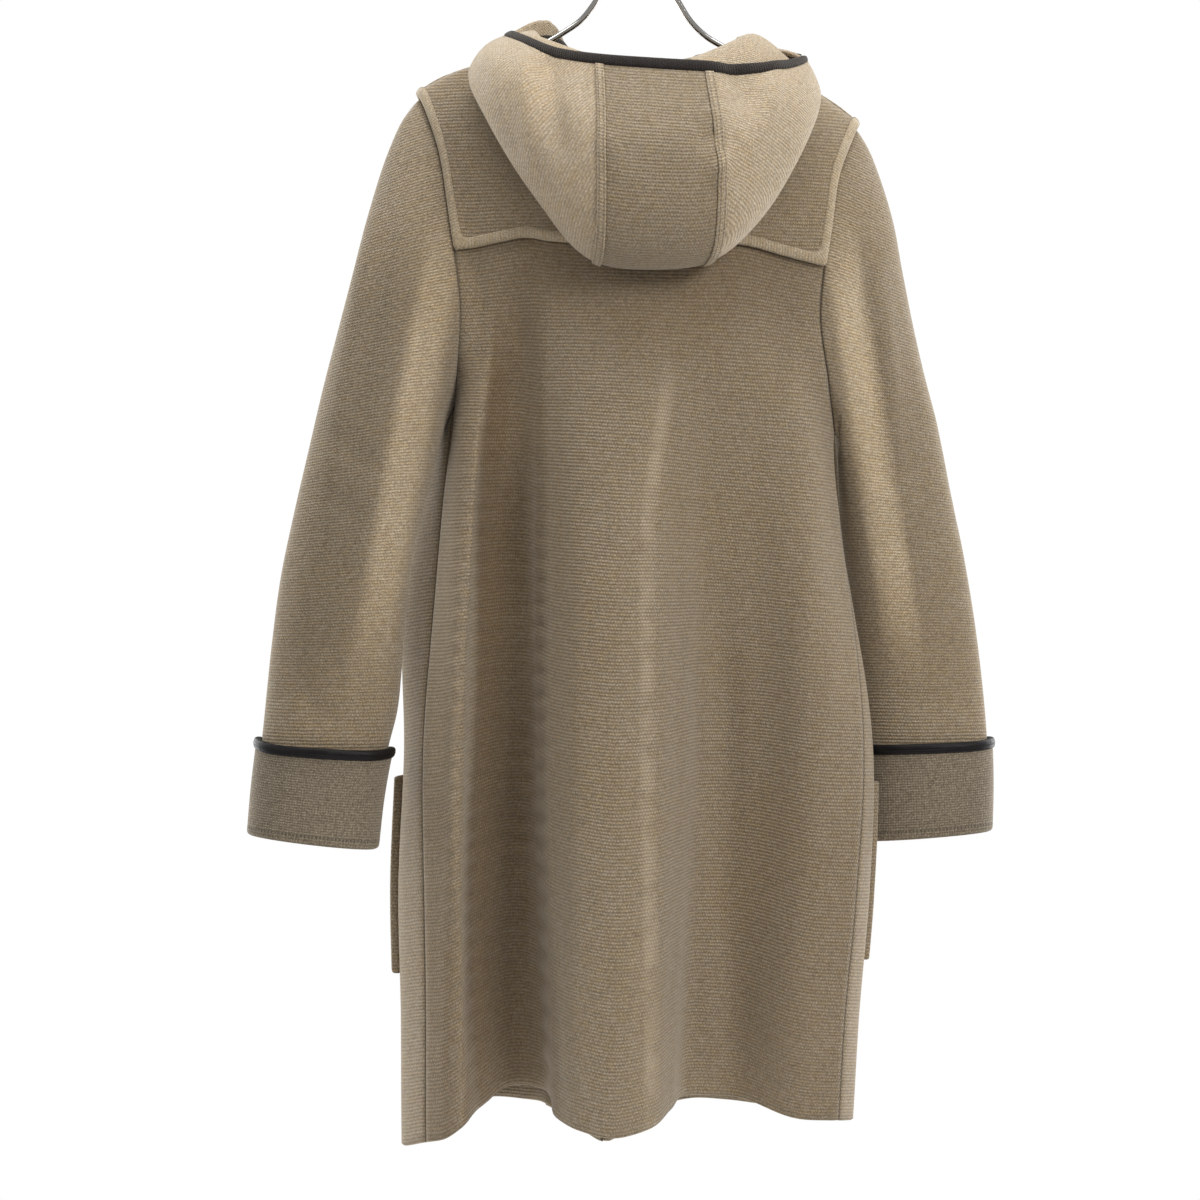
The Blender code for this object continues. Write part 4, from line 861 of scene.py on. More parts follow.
back = smooth_grid(body_net(BACK_LINES, BACK_NECK, BACK_NECKLINE, False), ROW_PARTS, LINE_PARTS, BACK_NECK)
fronts = smooth_grid(body_net(FRONT_LINES, FRONT_NECK, FRONT_NECKLINE, True), ROW_PARTS, LINE_PARTS,
                     FRONT_NECK)
underarm = sum(ROW_PARTS[:UNDERARM])
back_out = normals(back)
front_out = -normals(fronts)
for out, neck in ((back_out, BACK_NECK), (front_out, FRONT_NECK)):
    first, last = neck[0] * LINE_PARTS, neck[1] * LINE_PARTS
    out[0, :first + 1, 1] = 0
    out[0, last:, 1] = 0
    out[0, first + 1:last, 2] = 0
back_out, front_out = unit(back_out), unit(front_out)
sleeves = {}
for side, line, table in (("left", 0, LEFT_SLEEVE), ("right", -1, RIGHT_SLEEVE)):
    below = unit(back_out[underarm:, line] + front_out[underarm:, line])
    armhole = armhole_ring(back[:underarm + 1, line], fronts[:underarm + 1, line])
    grid = sleeve_grid(table, armhole, SLEEVE_PARTS)
    out = ring_normals(grid)
    ring = unit(out[0] + armhole_ring(back_out[:underarm + 1, line], front_out[:underarm + 1, line]))
    ring[0] = unit(ring[0] * np.array([1, 0, 1]))
    for k in range(EDGE_RINGS):
        out[k] = unit(out[k] * (k / EDGE_RINGS) + ring * (1 - k / EDGE_RINGS))
    back_edge = np.concatenate([ring[:underarm + 1], below[1:]])
    front_edge = np.concatenate([ring[:1], ring[:underarm - 1:-1], below[1:]])
    blend_edge(back_out, line, back_edge)
    blend_edge(front_out, line, front_edge)
    sleeves[side] = (grid, out)

back = press(seam_roll(back, back_out), back_out, BACK_CREASES)
fronts = press(seam_roll(fronts, front_out), front_out, FRONT_CREASES)
outer_edge, inner_edge = OUTER_EDGE * LINE_PARTS, INNER_EDGE * LINE_PARTS
left_front, left_out = fronts[:, :inner_edge + 1].copy(), front_out[:, :inner_edge + 1]
tuck = np.clip((np.arange(inner_edge + 1) - outer_edge + 2 * LINE_PARTS) / (2 * LINE_PARTS), 0, 1)
left_front -= left_out * (LAP_LIFT * tuck)[None, :, None]
right_front, right_out = fronts[:, outer_edge:], front_out[:, outer_edge:]
for node, grid, out, material in (("back", back, back_out, back_knit),
                                  ("front_left", left_front, left_out, knit),
                                  ("front_right", right_front, right_out, knit)):
    piece = settle(cloth_piece(node + "_cloth", grid, out, sewn=True), node, material)
    width, length, area = BODY_FLAT[node]

for side, creases in (("left", LEFT_SLEEVE_CREASES), ("right", RIGHT_SLEEVE_CREASES)):
    grid, out = sleeves[side]
    away = lengths(grid, 0)
    grid = grid - out * (ARMHOLE_DIP * np.exp(-(away / ARMHOLE_DIP_WIDTH)**2))[..., None]
    clear = np.clip(away / ARMHOLE_CLEAR, 0, 1)[..., None]
    pressed = press(grid, out, creases, facing=-1)
    pressed = grid + (pressed - grid) * clear
    sleeves[side] = (pressed, out)
    chart = cloth_map(pressed, closed=True)
    around = np.concatenate([pressed, pressed[:, :1]], axis=1)
    tilt = SLEEVE_TILT * np.clip((TILT_ENDS - around[..., 2]) / TILT_FADES, 0, 1)
    chart[..., 1] = (tilt * np.abs(around[..., 0]) - around[..., 2]) * MM
    cloth = cloth_piece("sleeve_" + side + "_cloth", pressed, out, closed=True, chart=chart, sewn=True)
    piece = settle(cloth, "sleeve_" + side, sleeve_knit[side])
    width, length, area = BODY_FLAT["sleeve_" + side]


# Yoke: a second layer of the same knit over the shoulders, in three pieces. Its lower and side edges are
# bound with a lighter strip of the knit's reverse, folded over the edge and sewn through.
TAPE_WIDTH = 8.0
NECK_SET = 5.0         # the yoke starts this far below the coat's neck edge
ROUND = 4.0            # how far from a corner the strip starts to turn
ROUNDNESS = 0.3        # share of the way from the corner to the turn's two ends
YOKE_ROW = 5           # the yoke ends at this row of the body's table
CLOSING_STEP = 3.0     # chart length of the last step round a closed strip
TAPE_LIGHT = (0.50, 0.42, 0.31)
TAPE_DARK = (0.25, 0.195, 0.13)
# Once round the folded strip: distance inwards from the edge, and height from the cloth's middle.
TAPE_PROFILE = (
    (8.0, 1.6), (7.5, 2.5), (6.2, 3.1), (3.6, 3.4), (1.0, 2.95), (-0.35, 2.1), (-0.8, 0.8), (-0.8, -0.8),
    (-0.35, -2.0), (0.8, -2.75), (6.4, -2.7), (8.0, -2.3), (8.0, -1.5), (3.0, -1.45), (0.8, -1.45),
    (0.8, 1.45), (3.0, 1.45), (8.0, 1.4),
)


def spot(grid, row, line):
    """Read a grid at fractional rows and lines."""
    rows, lines = grid.shape[:2]
    r = np.clip(np.floor(row).astype(int), 0, rows - 2)
    c = np.clip(np.floor(line).astype(int), 0, lines - 2)
    u, v = (line - c)[..., None], (row - r)[..., None]
    upper = grid[r, c] * (1 - u) + grid[r, c + 1] * u
    lower = grid[r + 1, c] * (1 - u) + grid[r + 1, c + 1] * u
    return upper * (1 - v) + lower * v


def walk(grid, axis, distance, backwards=False):
    """Go a distance in from an edge along each grid line, to a fractional row (axis 0) or line (axis 1)."""
    run = lengths(np.flip(grid, axis) if backwards else grid, axis)
    run = run if axis else run.T
    steps = np.arange(run.shape[1])
    way = np.array([np.interp(distance, one, steps) for one in run])
    return steps[-1] - way if backwards else way


def edge_follower(grid, out, last=False, wide=1.0):
    """Give a function that follows a grid's first or last row at a distance inwards."""
    def follow(inwards):
        row = walk(grid, 0, inwards * wide, last)
        line = np.arange(grid.shape[1], dtype=float)
        return spot(grid, row, line), unit(spot(out, row, line))
    return follow


def bound_edge(grid, out, inwards):
    """Follow a yoke's two side edges and its lower edge at a distance inwards, with rounded corners."""
    rows, lines = grid.shape[:2]
    clear = TAPE_WIDTH + ROUND + 1
    height = lengths(grid[::-1], 0)[::-1]
    width = lengths(grid, 1)[-1]
    side = [r for r in range(rows) if height[r, 0] > clear]
    far_side = [r for r in range(rows) if height[r, -1] > clear]
    bottom = [c for c in range(lines) if clear < width[c] < width[-1] - clear]
    first, last = walk(grid, 1, inwards), walk(grid, 1, inwards, True)
    cut, far_cut = walk(grid, 1, inwards + ROUND), walk(grid, 1, inwards + ROUND, True)
    low, raised = walk(grid, 0, inwards, True), walk(grid, 0, inwards + ROUND, True)

    def corner(line, edge, turn_end):
        """Round one corner in three points: above it, near it and beside it."""
        near = (low[line] + ROUNDNESS * (raised[line] - low[line]), edge + ROUNDNESS * (turn_end - edge))
        return [(raised[line], edge), near, (low[line], turn_end)]

    path = [(r, first[r]) for r in side] + corner(0, first[-1], cut[-1])
    path += [(low[c], c) for c in bottom] + corner(-1, last[-1], far_cut[-1])[::-1]
    path += [(r, last[r]) for r in reversed(far_side)]
    row, line = np.array(path, float).T
    return spot(grid, row, line), unit(spot(out, row, line))


def folded_strip(name, follow, lift=0.0, closed=False):
    """Fold a strip over an edge. `follow` gives the places and outward directions at a distance inwards."""
    loops, ways_round, around = [], [], 0.0
    for k, (inwards, height) in enumerate(TAPE_PROFILE):
        places, outs = follow(max(inwards, 0.0))
        if inwards < 0:
            inner = follow(1.0)[0]
            places = places + unit(places - inner) * -inwards
        loops.append(places + outs * (lift + height))
        if k:
            before = TAPE_PROFILE[k - 1]
            around += math.hypot(inwards - before[0], height - before[1])
        ways_round.append(around)
    loops = np.array(loops).transpose(1, 0, 2)
    count, sides = loops.shape[:2]
    step = np.linalg.norm(np.diff(loops[:, 3], axis=0), axis=-1)
    along = np.concatenate([[0], np.cumsum(step)])
    turns = count if closed else count - 1
    faces, chart = [], []
    for i in range(turns):
        k = (i + 1) % count
        next_along = along[i + 1] if i + 1 < count else along[i] + CLOSING_STEP
        for j in range(sides):
            m = (j + 1) % sides
            faces.append((i * sides + j, i * sides + m, k * sides + m, k * sides + j))
            u = ways_round[j]
            next_u = ways_round[m] if m else u + 1
            chart += [(u, along[i]), (next_u, along[i]), (next_u, next_along), (u, next_along)]
    if not closed:
        for ring in (tuple(reversed(range(sides))), tuple((count - 1) * sides + j for j in range(sides))):
            faces.append(ring)
            chart += [(ways_round[j % sides], 0) for j in ring]
    mesh = charted_mesh(name, loops.reshape(-1, 3) * (MM, MM, -MM), faces, np.ravel(chart) * MM)
    shape = bmesh.new()
    shape.from_mesh(mesh)
    bmesh.ops.recalc_face_normals(shape, faces=shape.faces)
    if shape.calc_volume(signed=True) < 0:
        bmesh.ops.reverse_faces(shape, faces=shape.faces)
    shape.to_mesh(mesh)
    shape.free()
    return hang_up(name, mesh)


tape = knit_finish("binding_strip", TAPE_LIGHT, TAPE_DARK, ridge=2.6, stitch=2.2, relief=0.7, fuzz=0.3)
yoke_knit = knit_finish("yoke_knit", KNIT_LIGHT, KNIT_DARK)
yoke_rows = sum(ROW_PARTS[:YOKE_ROW]) + 1
back_neck, neck = ([line * LINE_PARTS for line in ends] for ends in (BACK_NECK, FRONT_NECK))
YOKE_CUTS = (          # name, body, first and last line, the neck edge's lines, cut in metres
    ("back", back, back_out, 0, back.shape[1], *back_neck, (0.38, 0.19, 0.06)),
    ("front_left", fronts, front_out, 0, neck[0] + 1, neck[0], neck[0], (0.13, 0.18, 0.017)),
    ("front_right", fronts, front_out, neck[1], fronts.shape[1], neck[1], neck[1], (0.13, 0.18, 0.017)),
)
for name, body, body_out, first, last, neck_first, neck_last, (width, length, area) in YOKE_CUTS:
    grid, out = body[:yoke_rows, first:last].copy(), body_out[:yoke_rows, first:last]
    lines = np.arange(first, last)
    set_down = np.where((lines >= neck_first) & (lines <= neck_last), NECK_SET, 0.0)
    for c in np.flatnonzero(set_down):
        start = float(np.interp(set_down[c], lengths(grid, 0)[:, c], np.arange(yoke_rows)))
        rows = start + (yoke_rows - 1 - start) * np.arange(yoke_rows) / (yoke_rows - 1)
        grid[:, c] = spot(grid, rows, np.full(yoke_rows, float(c)))
    follow = lambda inwards, grid=grid, out=out: bound_edge(grid, out, inwards)
    folded = folded_strip("yoke_strip_" + name, follow, YOKE_LIFT)
    strip = settle(folded, "yoke_binding_" + name, tape)
    places = np.meshgrid(np.arange(yoke_rows - 0.6), np.linspace(0.5, grid.shape[1] - 1.5, grid.shape[1]),
                         indexing="ij")
    inner, inner_out = spot(grid, *places), unit(spot(out, *places))
    chart = np.stack([lengths(inner, 1), -inner[..., 2] + 0.02 * inner[..., 0]], axis=-1) * MM
    piece = settle(cloth_piece("yoke_" + name + "_cloth", inner, inner_out, lift=YOKE_LIFT, chart=chart),
                   "yoke_" + name, yoke_knit)


# Cuffs: the sleeves' lower ends turned back, so the knit's fine reverse shows. Each upper edge is bound with
# smooth black leather, and a row of stitches runs round above the fold.
CUFF_RING = 12
CUFF_LIFT = CLOTH + 2 * SLACK + TAPE
CUFF_DROP = 79.0
CUFF_CLOTH = 2.4       # thickness, pulled tight by the fold
CUFF_MESH = 2.2        # one mesh of the reverse's grid
CUFF_SEWN = 6.0        # the row of stitches lies this far above the fold
CUFF_STITCH = 3.2
CUFF_ROWS = 40
FOLD_START, FOLD_DEPTH = 0.6, 2.2      # the fold starts this far below the sleeve and goes this much lower
CUFF_RISE = {"left": (4.0, 3.0), "right": (2.0, 3.0)}   # how much higher the edge stands outside and inside
CUFF_LOW = {"left": 2.5, "right": 6.0}                   # how far below the sleeve's ring the edge lies
CUFF_LIGHT = (0.385, 0.318, 0.228)
CUFF_DARK = (0.17, 0.132, 0.09)
LEATHER_COLOUR = (0.007, 0.006, 0.006)


def leather_finish(name, colour, sewn):
    """Smooth black leather: fine grain, dull patches and pale scuffed points.

    `sewn` is how far in millimetres a strip's groove of stitches lies from its edge.
    """
    finish = Finish(name, Specular_IOR_Level=0.16)
    inwards = finish.along_and_down()[0]
    groove = 1 - ((inwards * 1000 - sewn)**2).ramp(0.05, 0.6)
    place = finish.place()
    grain = finish.node("ShaderNodeTexVoronoi", {"feature": "SMOOTH_F1"},
                        {"Vector": place, "Scale": 950.0, "Smoothness": 0.6})
    wear = finish.noise(70, 4, 0.6, vector=place).ramp(0.5, 0.72)
    soft = finish.noise(160, 3, vector=place)
    finish.feed("Base Color", finish.mix(wear * 0.55, colour, tuple(2.6 * v for v in colour)))
    finish.feed("Roughness", 0.36 + soft * 0.14 + wear * 0.14)
    finish.bump(grain * 0.5 + soft - groove * 3, 0.00035)
    return finish.material


def cuff_finish():
    """The knit's reverse, a finer and flatter grid, with a row of stitches near the fold."""
    finish = Finish("cuff_knit", Sheen_Weight=0.3, Sheen_Roughness=0.55, Sheen_Tint=(1.0, 0.93, 0.82, 1.0),
                    Specular_IOR_Level=0.2)
    along, down = finish.along_and_down()
    place = finish.place()
    tremor = finish.noise(240, 2, vector=place)
    course = down * (1000 / CUFF_MESH) + tremor * 0.6
    wale = along * (1000 / CUFF_MESH) + tremor * 0.6
    height = ((course * 2 * math.pi).sin() * 0.5 + 0.5) * ((wale * 2 * math.pi).sin() * 0.35 + 0.65)
    heather = finish.noise(520, 3, 0.65, vector=place)
    cloudy = finish.noise(14, 3, vector=place)
    seam = 1 - ((down * 1000 + CUFF_DROP - CUFF_SEWN)**2).ramp(0.1, 1.6)
    stitch = seam * (along * (1000 * 2 * math.pi / CUFF_STITCH)).sin().ramp(-0.3, 0.3)
    colour = finish.mix(heather.ramp(0.3, 0.7), CUFF_DARK, CUFF_LIGHT)
    # Painted shade in the hollows of the grid, with cloudy tone that is the yarn's own.
    valley = (1 - height) * 0.6 + cloudy.ramp(0.4, 0.7) * 0.12
    colour = finish.mix(valley, colour, tuple(0.34 * v for v in CUFF_DARK))
    # Painted shade in the groove of the row of stitches; the thread's paler colour is its own.
    colour = finish.mix(seam * 0.6, colour, tuple(0.4 * v for v in CUFF_DARK))
    colour = finish.mix(stitch * 0.3, colour, CUFF_LIGHT)
    finish.feed("Base Color", colour)
    finish.feed("Roughness", 0.86 + heather * 0.12)
    finish.bump(height * 0.6 + heather * 0.35 - seam * 1.6 + stitch * 1.1, 0.0009)
    return finish.material


leather = leather_finish("leather", LEATHER_COLOUR, 4.6)
cuff_knit = cuff_finish()
cuff_row = sum(SLEEVE_PARTS[:CUFF_RING])
CUFF_FLAT = {"left": (0.28, 0.095, 0.026), "right": (0.28, 0.095, 0.0265)}
for side, (grid, out) in sleeves.items():
    count = grid.shape[1]
    height = lengths(grid, 0)
    turn = 2 * math.pi * np.arange(count) / count
    rise = np.where(np.cos(turn) > 0, *CUFF_RISE[side])
    start = height[cuff_row] + CUFF_LOW[side] - rise * np.abs(np.cos(turn))**7
    ways = np.linspace(0, 1, CUFF_ROWS)[:, None]
    fall = start + (height[-1] - start) * ways
    rows = np.array([np.interp(fall[:, c], height[:, c], np.arange(len(grid))) for c in range(count)]).T
    column = np.broadcast_to(np.arange(count, dtype=float), rows.shape)
    upper, upper_out = spot(grid, rows, column), unit(spot(out, rows, column))
    folded = folded_strip("cuff_strip_" + side, edge_follower(upper, upper_out), CUFF_LIFT, closed=True)
    strip = settle(folded, "cuff_binding_" + side, leather)
    down = unit(grid[-1] - grid[-2])
    rows = [upper + upper_out * CUFF_LIFT]
    outs = [upper_out]
    for angle in np.radians([25, 50, 75, 105, 130, 155, 180]):
        reach, stand = math.sin(angle), math.cos(angle)
        rows.append([grid[-1] + down * (FOLD_START + FOLD_DEPTH * reach)
                     + out[-1] * (CUFF_LIFT / 2 * (1 + stand))])
        outs.append([unit(out[-1] * stand + down * reach)])
    cuff, cuff_out = np.concatenate(rows), np.concatenate(outs)
    cloth = cloth_piece("cuff_" + side + "_cloth", cuff[1:], cuff_out[1:], thick=CUFF_CLOTH, closed=True)
    piece = settle(cloth, "cuff_" + side, cuff_knit)
    width, length, area = CUFF_FLAT[side]
    "sleeve_" + side + "_cloth"


# Hood: two side panels and a gusset between them, joined by lapped seams that are sewn down on both sides. It
# hangs down the back in soft folds, and its opening is bound with dark ribbed braid.
HOOD = (
    # neck seam         stand             under side        fold              back              opening edge
    ((-4, 60, 226), (-5, 62, 223), (-6, 64, 220), (-6, 65, 217), (-7, 66, 213), (-8, 70, 194)),
    ((-50, 44, 187), (-51, 47, 180), (-52, 50, 173), (-53, 52, 166), (-53, 54, 160), (-52, 57, 149)),
    ((-78, 24, 156), (-82, 26, 149), (-88, 25, 144), (-87, 22, 139), (-76, 22, 119), (-66, 36, 138)),
    ((-85, 11, 142), (-90, 10, 134), (-104, 5, 137), (-113, -5, 143), (-110, -10, 138), (-91, 13, 138)),
    ((-88, -2, 134), (-97, -8, 136), (-121, -17, 152), (-137, -32, 171), (-131, -42, 158), (-104, -31, 140)),
    ((-77, -23, 148), (-84, -34, 145), (-104, -66, 190), (-121, -74, 226), (-117, -93, 186), (-92, -62, 151)),
    ((-60, -34, 159), (-64, -48, 155), (-80, -82, 232), (-84, -90, 287), (-80, -122, 226), (-66, -92, 167)),
    ((-36, -40, 167), (-37, -55, 165), (-36, -87, 262), (-33, -100, 343), (-29, -146, 262), (-31, -115, 177)),
    ((4, -43, 172), (5, -58, 171), (10, -91, 268), (14, -103, 349), (15, -152, 268), (12, -124, 182)),
    ((42, -40, 168), (44, -55, 168), (50, -87, 262), (57, -100, 343), (66, -146, 265), (56, -123, 184)),
    ((62, -34, 162), (68, -48, 158), (92, -82, 245), (103, -90, 303), (104, -124, 240), (92, -104, 182)),
    ((79, -23, 152), (88, -33, 146), (114, -66, 205), (132, -76, 250), (131, -97, 206), (118, -82, 176)),
    ((88, -2, 139), (97, -7, 138), (128, -18, 159), (148, -42, 193), (144, -55, 174), (139, -45, 164)),
    ((80, 24, 162), (85, 26, 155), (96, 24, 152), (105, 19, 151), (105, 17, 146), (91, 40, 149)),
    ((50, 44, 191), (51, 47, 184), (52, 50, 177), (53, 52, 170), (54, 54, 162), (55, 58, 141)),
    ((4, 62, 228), (5, 64, 225), (6, 66, 222), (6, 67, 219), (7, 69, 215), (8, 73, 197)),
)
LEFT_HOOD_SEAM = 7
RIGHT_HOOD_SEAM = 9
HOOD_PARTS = 8
HOOD_CREASES = (
    ("left panel's fold", (-93, 166), (-91, 212), (-82, 272), 7, 7.0),
    ("beside it",         (-72, 172), (-70, 215), (-59, 270), 8, -6.5),
    ("right dent",        (70, 172),  (84, 204),  (98, 236), 10, -5.0),
    ("right ridge",       (112, 172), (110, 205), (98, 248), 8, 4.0),
    ("right seam's pinch", (40, 236), (58, 250),  (80, 256), 6, -5.5),
    ("puff below it",     (58, 262),  (66, 278),  (68, 298), 9, 4.0),
    ("gusset's drag",     (-28, 240), (-19, 264), (-4, 290), 7, 3.0),
    ("middle sag",        (-14, 262), (10, 276),  (40, 262), 10, -1.5),
    ("crease by the right seam", (52, 292), (70, 282), (92, 264), 5, -2.4),
)
HOOD_FLAT = {"left": (0.45, 0.26, 0.049), "centre": (0.13, 0.31, 0.038), "right": (0.42, 0.26, 0.046)}
BRAID_WIDE = 1.2       # the braid's width as a share of the yoke strip's
SEAM_REACHES = (-3.3, -2.8, -1.4, 0, 1.4, 2.8, 3.3)   # lines of a lapped seam's strip, from its middle
SEAM_WINDOW = 6        # a seam's strip is read from this many grid lines on each side of it
SEAM_CLOTH = 1.8
SEAM_LIFT = 1.1
BRAID_LIGHT = (0.026, 0.021, 0.021)
BRAID_DARK = (0.008, 0.007, 0.007)
# The side panels' and the lapped seams' knit is paler than the body's, partly the hood's own paler nap and
# partly painted light where the hood faces the lamps above; the gusset's is a little darker, painted shade.
hood_knit = knit_finish("hood_knit", (0.56, 0.465, 0.345), (0.24, 0.186, 0.124), relief=0.8, fuzz=0.4)
gusset_knit = knit_finish("gusset_knit", (0.375, 0.307, 0.221), (0.15, 0.115, 0.074), relief=0.85, fuzz=0.35)
lapped_knit = knit_finish("lapped_knit", (0.52, 0.43, 0.315), (0.22, 0.17, 0.112), relief=0.8, sewn=2.0)
braid = knit_finish("braid", BRAID_LIGHT, BRAID_DARK, ridge=2.4, stitch=2.0, relief=0.9, fuzz=0.2)

net = np.asarray(HOOD, float).transpose(1, 0, 2)
turn = net[3] + 0.3 * (net[4] - net[2]) + 0.1 * (net[4] - net[3])
hood = smooth_grid(np.concatenate([net[:4], [turn], net[4:]]), HOOD_PARTS, HOOD_PARTS)
hood_out = -normals(hood)
hood = press(hood, hood_out, HOOD_CREASES, facing=-1)
seams = (LEFT_HOOD_SEAM * HOOD_PARTS, RIGHT_HOOD_SEAM * HOOD_PARTS)
follow = edge_follower(hood, hood_out, last=True, wide=BRAID_WIDE)
rim = settle(folded_strip("hood_braid", follow), "hood_binding", braid)
felled = []
for name, line in zip(("left", "right"), seams):
    near = slice(line - SEAM_WINDOW, line + SEAM_WINDOW + 1)
    window, window_out = hood[:, near], hood_out[:, near]
    run = lengths(window, 1)
    run = run - run[:, SEAM_WINDOW:SEAM_WINDOW + 1]
    top = walk(window, 0, TAPE_WIDTH * BRAID_WIDE + 0.5, True)[SEAM_WINDOW]
    rows = np.append(np.arange(math.floor(top)), top)
    steps = np.arange(run.shape[1])
    column = np.array([[np.interp(reach, one, steps) for reach in SEAM_REACHES] for one in run[:len(rows)]])
    row = np.broadcast_to(rows[:, None], column.shape)
    strip_grid, strip_out = spot(window, row, column), unit(spot(window_out, row, column))
    seam = cloth_piece("hood_lapped_seam_" + name, strip_grid, strip_out, thick=SEAM_CLOTH,
                       lift=CLOTH / 2 + SEAM_LIFT)
    felled.append(settle(seam, None, lapped_knit))
for name, first, last in (("left", 0, seams[0]), ("centre", *seams), ("right", seams[1], hood.shape[1] - 1)):
    grid, out = hood[:, first:last + 1], hood_out[:, first:last + 1]
    chart = cloth_map(grid)
    if name == "left":
        chart = chart[..., ::-1]
    elif name == "right":
        chart = np.stack([lengths(grid, 1), 0.8 * grid[..., 1] - grid[..., 2]], axis=-1) * MM
    piece = settle(cloth_piece("hood_" + name + "_cloth", grid, out, chart=chart), "hood_" + name,
                   gusset_knit if name == "centre" else hood_knit)
    width, length, area = HOOD_FLAT[name]
    [*felled, rim] if name == "centre" else []


# Pockets: patches of the knit with turned edges that stand off the fronts, sewn on at the sides and below.
POCKETS = {
    "left": {"lines": (1.15, 3.9), "drops": (776, 944)},
    "right": {"lines": (13.75, 11.1), "drops": (778, 928)},
}
POCKET_SEAM = 0.9      # from the front's face to the middle of the pocket's cloth, at its sewn edges
POCKET_STAND = 6.2     # how much further out the rest of the pocket lies
POCKET_BOW = 1.2       # and its middle beyond that
POCKET_CLOTH = 2.4
POCKET_FLAT = (0.165, 0.185, 0.028)
EDGE_STAND = (0, 0.35, 0.7, 0.9, 0.98, 1)        # from a sewn edge in, the share of POCKET_STAND
EDGE_WAY = (0, 0, 0, 0.004, 0.012, 0.024)        # and the share of the pocket's width
LOWER_WAY = (0.975, 0.988, 0.996, 1, 1, 1)       # down to the lower edge, the share of its height
ways = np.array([*EDGE_WAY, *np.linspace(0.05, 0.95, 26), *(1 - way for way in reversed(EDGE_WAY))])
stands = np.array([*EDGE_STAND, *[1] * 26, *reversed(EDGE_STAND)])
falls = np.array([*np.linspace(0, 0.96, 34), *LOWER_WAY])
lows = np.array([*[1] * 34, *reversed(EDGE_STAND)])
down_rows = np.arange(fronts.shape[0])
for side, spec in POCKETS.items():
    first, last = sorted(spec["lines"])
    upper, lower = spec["drops"]
    first, last = first * LINE_PARTS, last * LINE_PARTS
    line = first + (last - first) * ways
    middle_row = spot(fronts, np.repeat(down_rows[:, None], len(line), 1).astype(float),
                      np.repeat(line[None], len(down_rows), 0))[..., 2]
    drops = upper + (lower - upper) * falls
    row = np.array([np.interp(drops, middle_row[:, k], down_rows) for k in range(len(line))]).T
    column = np.broadcast_to(line, row.shape)
    place, out = spot(fronts, row, column), unit(spot(front_out, row, column))
    stand = np.minimum(stands[None, :], lows[:, None])[..., None]
    bow = POCKET_BOW * np.sin(math.pi * ways)[None, :, None] * np.sin(math.pi * falls)[:, None, None]
    pocket = place + out * (CLOTH / 2 + POCKET_SEAM + (POCKET_STAND + bow) * stand)
    facing = unit(0.35 * out - normals(pocket))
    cloth = cloth_piece("pocket_" + side + "_cloth", pocket, facing, thick=POCKET_CLOTH)
    piece = settle(cloth, "pocket_" + side, knit)
    width, length, area = POCKET_FLAT
    "front_" + side + "_cloth"


# Toggle fastenings: four horn toggles, each tied on with a leather cord that ends in a stitched leather
# patch. A loop of the same cord on the other side passes round the toggle's middle.
TOGGLE_DROPS = (268, 394, 520, 646)
TOGGLE_LENGTH = 46.0
TOGGLE_RADIUS = 6.0
TOGGLE_EDGE = 0.7
TOGGLE_ACROSS = 14.0   # toggle's middle, from the outer free edge
TOGGLE_PROFILE = (     # share of the radius and place along the toggle
    (0.55, -0.5), (0.72, -0.47), (0.84, -0.40), (0.93, -0.26), (0.97, -0.12), (0.84, -0.07), (0.84, 0.07),
    (0.97, 0.12), (0.93, 0.26), (0.84, 0.40), (0.72, 0.47), (0.55, 0.5),
)
PATCH_LENGTH = 31.0
PATCH_HEIGHT = 26.0
PATCH_SKIN = 2.0       # the leather's thickness
PATCH_SEWN = 3.0       # the stitches lie this far in from the patch's edge
PATCH_STITCH = 3.0
LOOP_PATCH = 26.0      # start of the loop's patch, from the outer free edge
TOGGLE_PATCH = -43.0   # start of the toggle's patch
CORD = 2.0             # leather cord's radius
CORD_SPREAD = 4.5      # half the distance between a cord's two legs
CORD_START = 5.0       # the cord's end lies this far in on its patch
CLEAR = 0.7            # space between cords and what they lie on
LAP_RUN = 18.0         # the cord climbs the lap's edge over this distance
HORN_DARK = (0.030, 0.017, 0.010)
HORN_PALE = (0.22, 0.135, 0.07)


def patch_finish():
    """Black leather patch with a row of pale stitches near its edge."""
    finish = Finish("leather_patch", Specular_IOR_Level=0.45)
    across, down = finish.along_and_down()
    place = finish.place()
    grain = finish.node("ShaderNodeTexVoronoi", {"feature": "SMOOTH_F1"},
                        {"Vector": place, "Scale": 950.0, "Smoothness": 0.6})
    soft = finish.noise(160, 3, vector=place)
    side = finish.math("ABSOLUTE", across) * 1000 - (PATCH_LENGTH / 2 - PATCH_SEWN)
    end = finish.math("ABSOLUTE", down * 1000 + PATCH_HEIGHT / 2) - (PATCH_HEIGHT / 2 - PATCH_SEWN)
    frame_line = 1 - finish.math("ABSOLUTE", finish.math("MAXIMUM", side, end)).ramp(0.25, 0.6)
    dash = ((across + down) * (1000 * 2 * math.pi / PATCH_STITCH)).sin().ramp(-0.35, 0.1)
    thread = frame_line * dash
    finish.feed("Base Color", finish.mix(thread, LEATHER_COLOUR, (0.16, 0.13, 0.10)))
    finish.feed("Roughness", 0.38 + soft * 0.16 + thread * 0.3)
    finish.bump(grain * 0.4 + soft * 0.8 - frame_line * 1.5 + thread * 2.2, 0.0004)
    return finish.material


